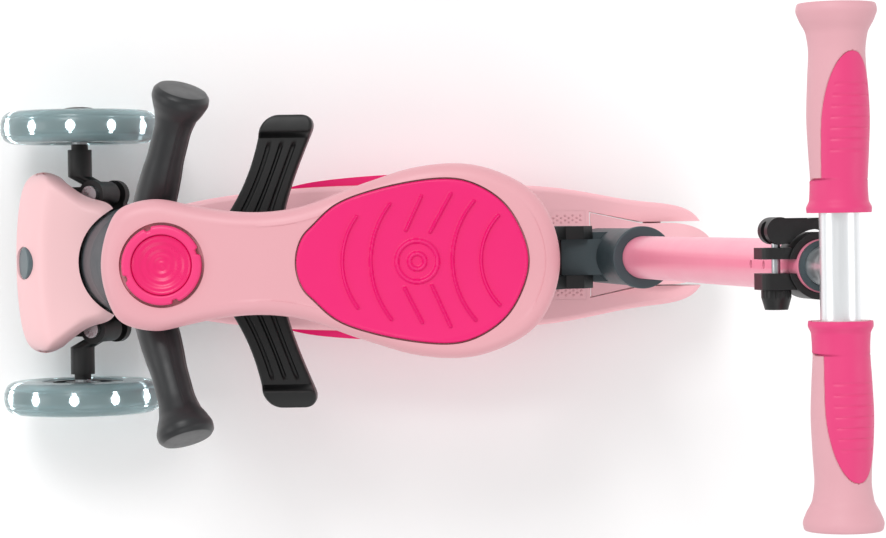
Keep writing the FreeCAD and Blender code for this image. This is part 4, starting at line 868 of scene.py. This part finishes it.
def closing_row(ring):
    """Halfway between a row's outer and inner half, so that the two meet and shut the end."""
    half = ring.shape[1] // 2
    outer_half, inner_half = ring[:, :half], ring[:, half:]
    return (np.concatenate([outer_half, outer_half[:, ::-1]], axis=1) * 0.5
            + np.concatenate([inner_half[:, ::-1], inner_half], axis=1) * 0.5)


for side_name, sign in (("left", -1), ("right", 1)):
    up = np.array([0, math.sin(palm), math.cos(palm)])
    start = bar_axis + np.array([sign * grip_start, 0, 0])
    end_cap = [(grip_length - 0.3 * mm + 0.3 * mm * math.sin(t), (grip_r - 1.2 * mm) * math.cos(t))
               for t in np.linspace(0.1, math.pi / 2, 14)]
    profile = [(0.0, 11.4 * mm)] + [(0.05 * mm, 16.6 * mm)] + grip_rows[2:].tolist() + end_cap

    def under_inlay(distance, turn, radius):
        """Sinks the body by a millimetre where the inlay lies."""
        away = np.abs((turn + math.pi) % (2 * math.pi) - math.pi)
        half = tongue_half(distance)
        inside = bump((away - half) * 16 * mm, 0.0, 0.35 * mm) * (distance < 88.5 * mm) * (radius > 12 * mm)
        return radius - 1.0 * mm * inside

    turned("grip_body_" + side_name, profile, start, (sign, 0, 0), pink_rubber, "handlebar",
           ["grip_" + side_name], count=180, shift=under_inlay, side=up)
    shares = np.linspace(0, 1, 150)
    distance = shares * 87.9 * mm + 0.1 * mm
    half = tongue_half(distance)
    closed = half > 3.1
    half = np.where(closed, math.pi, half - 0.012)
    across = np.linspace(-1, 1, 91)
    turn = half[:, None] * across[None, :]
    base = np.interp(distance, grip_rows[:, 0], grip_rows[:, 1])[:, None] + np.zeros_like(turn)
    lines = sum(bump(np.abs(distance[:, None] - (34 + 6 * n) * mm), 0.5 * mm, 0.35 * mm) for n in range(7))
    lines = lines * bump(np.abs(across)[None, :], 0.72, 0.05)
    edge = np.where(closed[:, None], 1.0, smooth_step(1 - np.abs(across)[None, :], 0.0, 0.05))
    outer = base + 0.35 * mm * edge - 0.4 * mm * lines
    inner = base - 0.8 * mm
    side_way = np.cross(np.array([sign, 0, 0]), up)

    def place_on_bar(radius):
        return start + distance[:, None, None] * np.array([sign, 0, 0]) + radius[..., None] * (
            np.cos(turn)[..., None] * up + np.sin(turn)[..., None] * side_way)

    top_rows, low_rows = place_on_bar(outer), place_on_bar(inner)
    loop = np.concatenate([top_rows, low_rows[:, ::-1]], axis=1)
    loop = np.concatenate([closing_row(loop[:1]), loop, closing_row(loop[-1:])], axis=0)
    grid_piece("grip_inlay_skin_" + side_name, loop, magenta_rubber, "handlebar", ["grip_inlay_" + side_name],
               wrap_rows=False, wrap_columns=True)


# %% [markdown]
# ## Anti-slip dots
# The panel carries rows of low dots, every second row shifted by half a step. Only the rows near its two
# sides show, past the push bar's foot. Each dot is a flat-topped cone with eight sides.

# %% Dots
def dots(name, places, slope, finish, body, radius=1.05 * mm, rise=0.45 * mm):
    """One mesh of many eight-sided dots at (x, y, z) places, leaning with the surface they stand on."""
    a = np.linspace(0, 2 * math.pi, 8, endpoint=False)
    ring = np.column_stack([np.cos(a), np.sin(a)])
    shape = np.concatenate([np.column_stack([ring * radius, np.full(8, -0.3 * mm)]),
                            np.column_stack([ring * radius, np.full(8, 0.0)]),
                            np.column_stack([ring * radius * 0.6, np.full(8, rise)])])
    shape[:, 2] += shape[:, 1] * slope
    points = places[:, None, :] + shape[None]
    n = np.arange(8)
    walls = [np.stack([n + k, (n + 1) % 8 + k, (n + 1) % 8 + k + 8, n + k + 8], 1) for k in (0, 8)]
    faces = [row.tolist() for row in np.concatenate(walls)] + [(n + 16).tolist(), n[::-1].tolist()]
    mesh = bpy.data.meshes.new(name)
    every = [[v + 24 * d for v in face] for d in range(len(places)) for face in faces]
    mesh.from_pydata(points.reshape(-1, 3).tolist(), [], every)
    mesh.materials.append(finish)
    piece = bpy.data.objects.new(name, mesh)
    bpy.context.collection.objects.link(piece)
    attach(piece, body)
    print(name, len(places), "dots")


def dot_grid(x_half, y_low, y_high, step=3.4 * mm):
    """Places in staggered rows over a rectangle."""
    row_y = np.arange(y_low + step / 2, y_high - step / 4, step * 0.87)
    x = np.arange(-x_half, x_half + step / 2, step)
    shifts = [step / 2 if n % 2 else 0 for n in range(len(row_y))]
    places = np.concatenate([np.column_stack([x + s, np.full(len(x), y)]) for s, y in zip(shifts, row_y)])
    return places[np.abs(places[:, 0]) < x_half]


panel_low, panel_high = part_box("deck_grip_panel")
places = dot_grid(32 * mm, panel_low[1], panel_high[1])
places = places[np.abs(places[:, 0]) > 24 * mm]
dots("panel_dots", np.column_stack([places, np.full(len(places), panel_high[2])]), 0.0, pink_shell, "root")

# %% [markdown]
# ## Floor, light and camera
# A pale floor and large soft lights stand in for a studio. The camera looks straight down, a little
# turned.

# %% Floor
floor_mesh = bpy.data.meshes.new("floor")
span = 6.0
floor_z = -0.5 * mm
corners = [(-span, -span, floor_z), (span, -span, floor_z), (span, span, floor_z), (-span, span, floor_z)]
floor_mesh.from_pydata(corners, [], [(0, 1, 2, 3)])
floor = bpy.data.objects.new("floor", floor_mesh)
bpy.context.collection.objects.link(floor)
made, tree, shader, place = new_material("white_studio_paper")
finish_nodes(tree, shader, place, "#FFFFFF", 0.01, 4.0, 0.02, 0.8, 0.05)
floor_mesh.materials.append(made)
floor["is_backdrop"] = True

# %% Lights
def soft_light(name, place, aim, size, watts):
    """A square soft box at a place, turned so that its face looks at the aim point."""
    data = bpy.data.lights.new(name, "AREA")
    data.size = size
    data.energy = watts
    box = bpy.data.objects.new(name, data)
    bpy.context.collection.objects.link(box)
    box.location = place
    way = np.array(aim, float) - np.array(place, float)
    box.rotation_euler = Vector(way).to_track_quat("-Z", "Y").to_euler()
    return box


centre = (cad_low + cad_high) / 2
soft_light("key_box", (-1.6, -0.6, 2.6), centre, 1.1, 30)
soft_light("fill_box", (1.7, 0.5, 2.4), centre, 1.8, 11)
soft_light("front_box", (0.0, -2.4, 1.6), centre, 1.2, 9)
soft_light("back_box", (0.2, 2.4, 1.8), centre, 1.2, 8)
world = bpy.data.worlds.new("studio_air")
world.use_nodes = True
world.node_tree.nodes["Background"].inputs["Color"].default_value = colour("#FFFFFF")
world.node_tree.nodes["Background"].inputs["Strength"].default_value = 0.72
bpy.context.scene.world = world

# %% Camera
camera_height = 2.122
camera_turn = math.radians(-0.85)
camera = bpy.data.objects.new("camera", bpy.data.cameras.new("camera"))
bpy.context.collection.objects.link(camera)
camera.data.sensor_width = 36.0
camera.data.lens = 108.1
camera.data.shift_y = -0.0578
camera.location = (-0.030, 0.051, camera_height)
camera.rotation_euler = (0, 0, math.radians(90) + camera_turn)
camera.data.clip_end = 50
bpy.context.scene.camera = camera
bpy.context.scene.view_settings.view_transform = "Standard"

# %% Find the sizes of the finished scene
low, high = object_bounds()
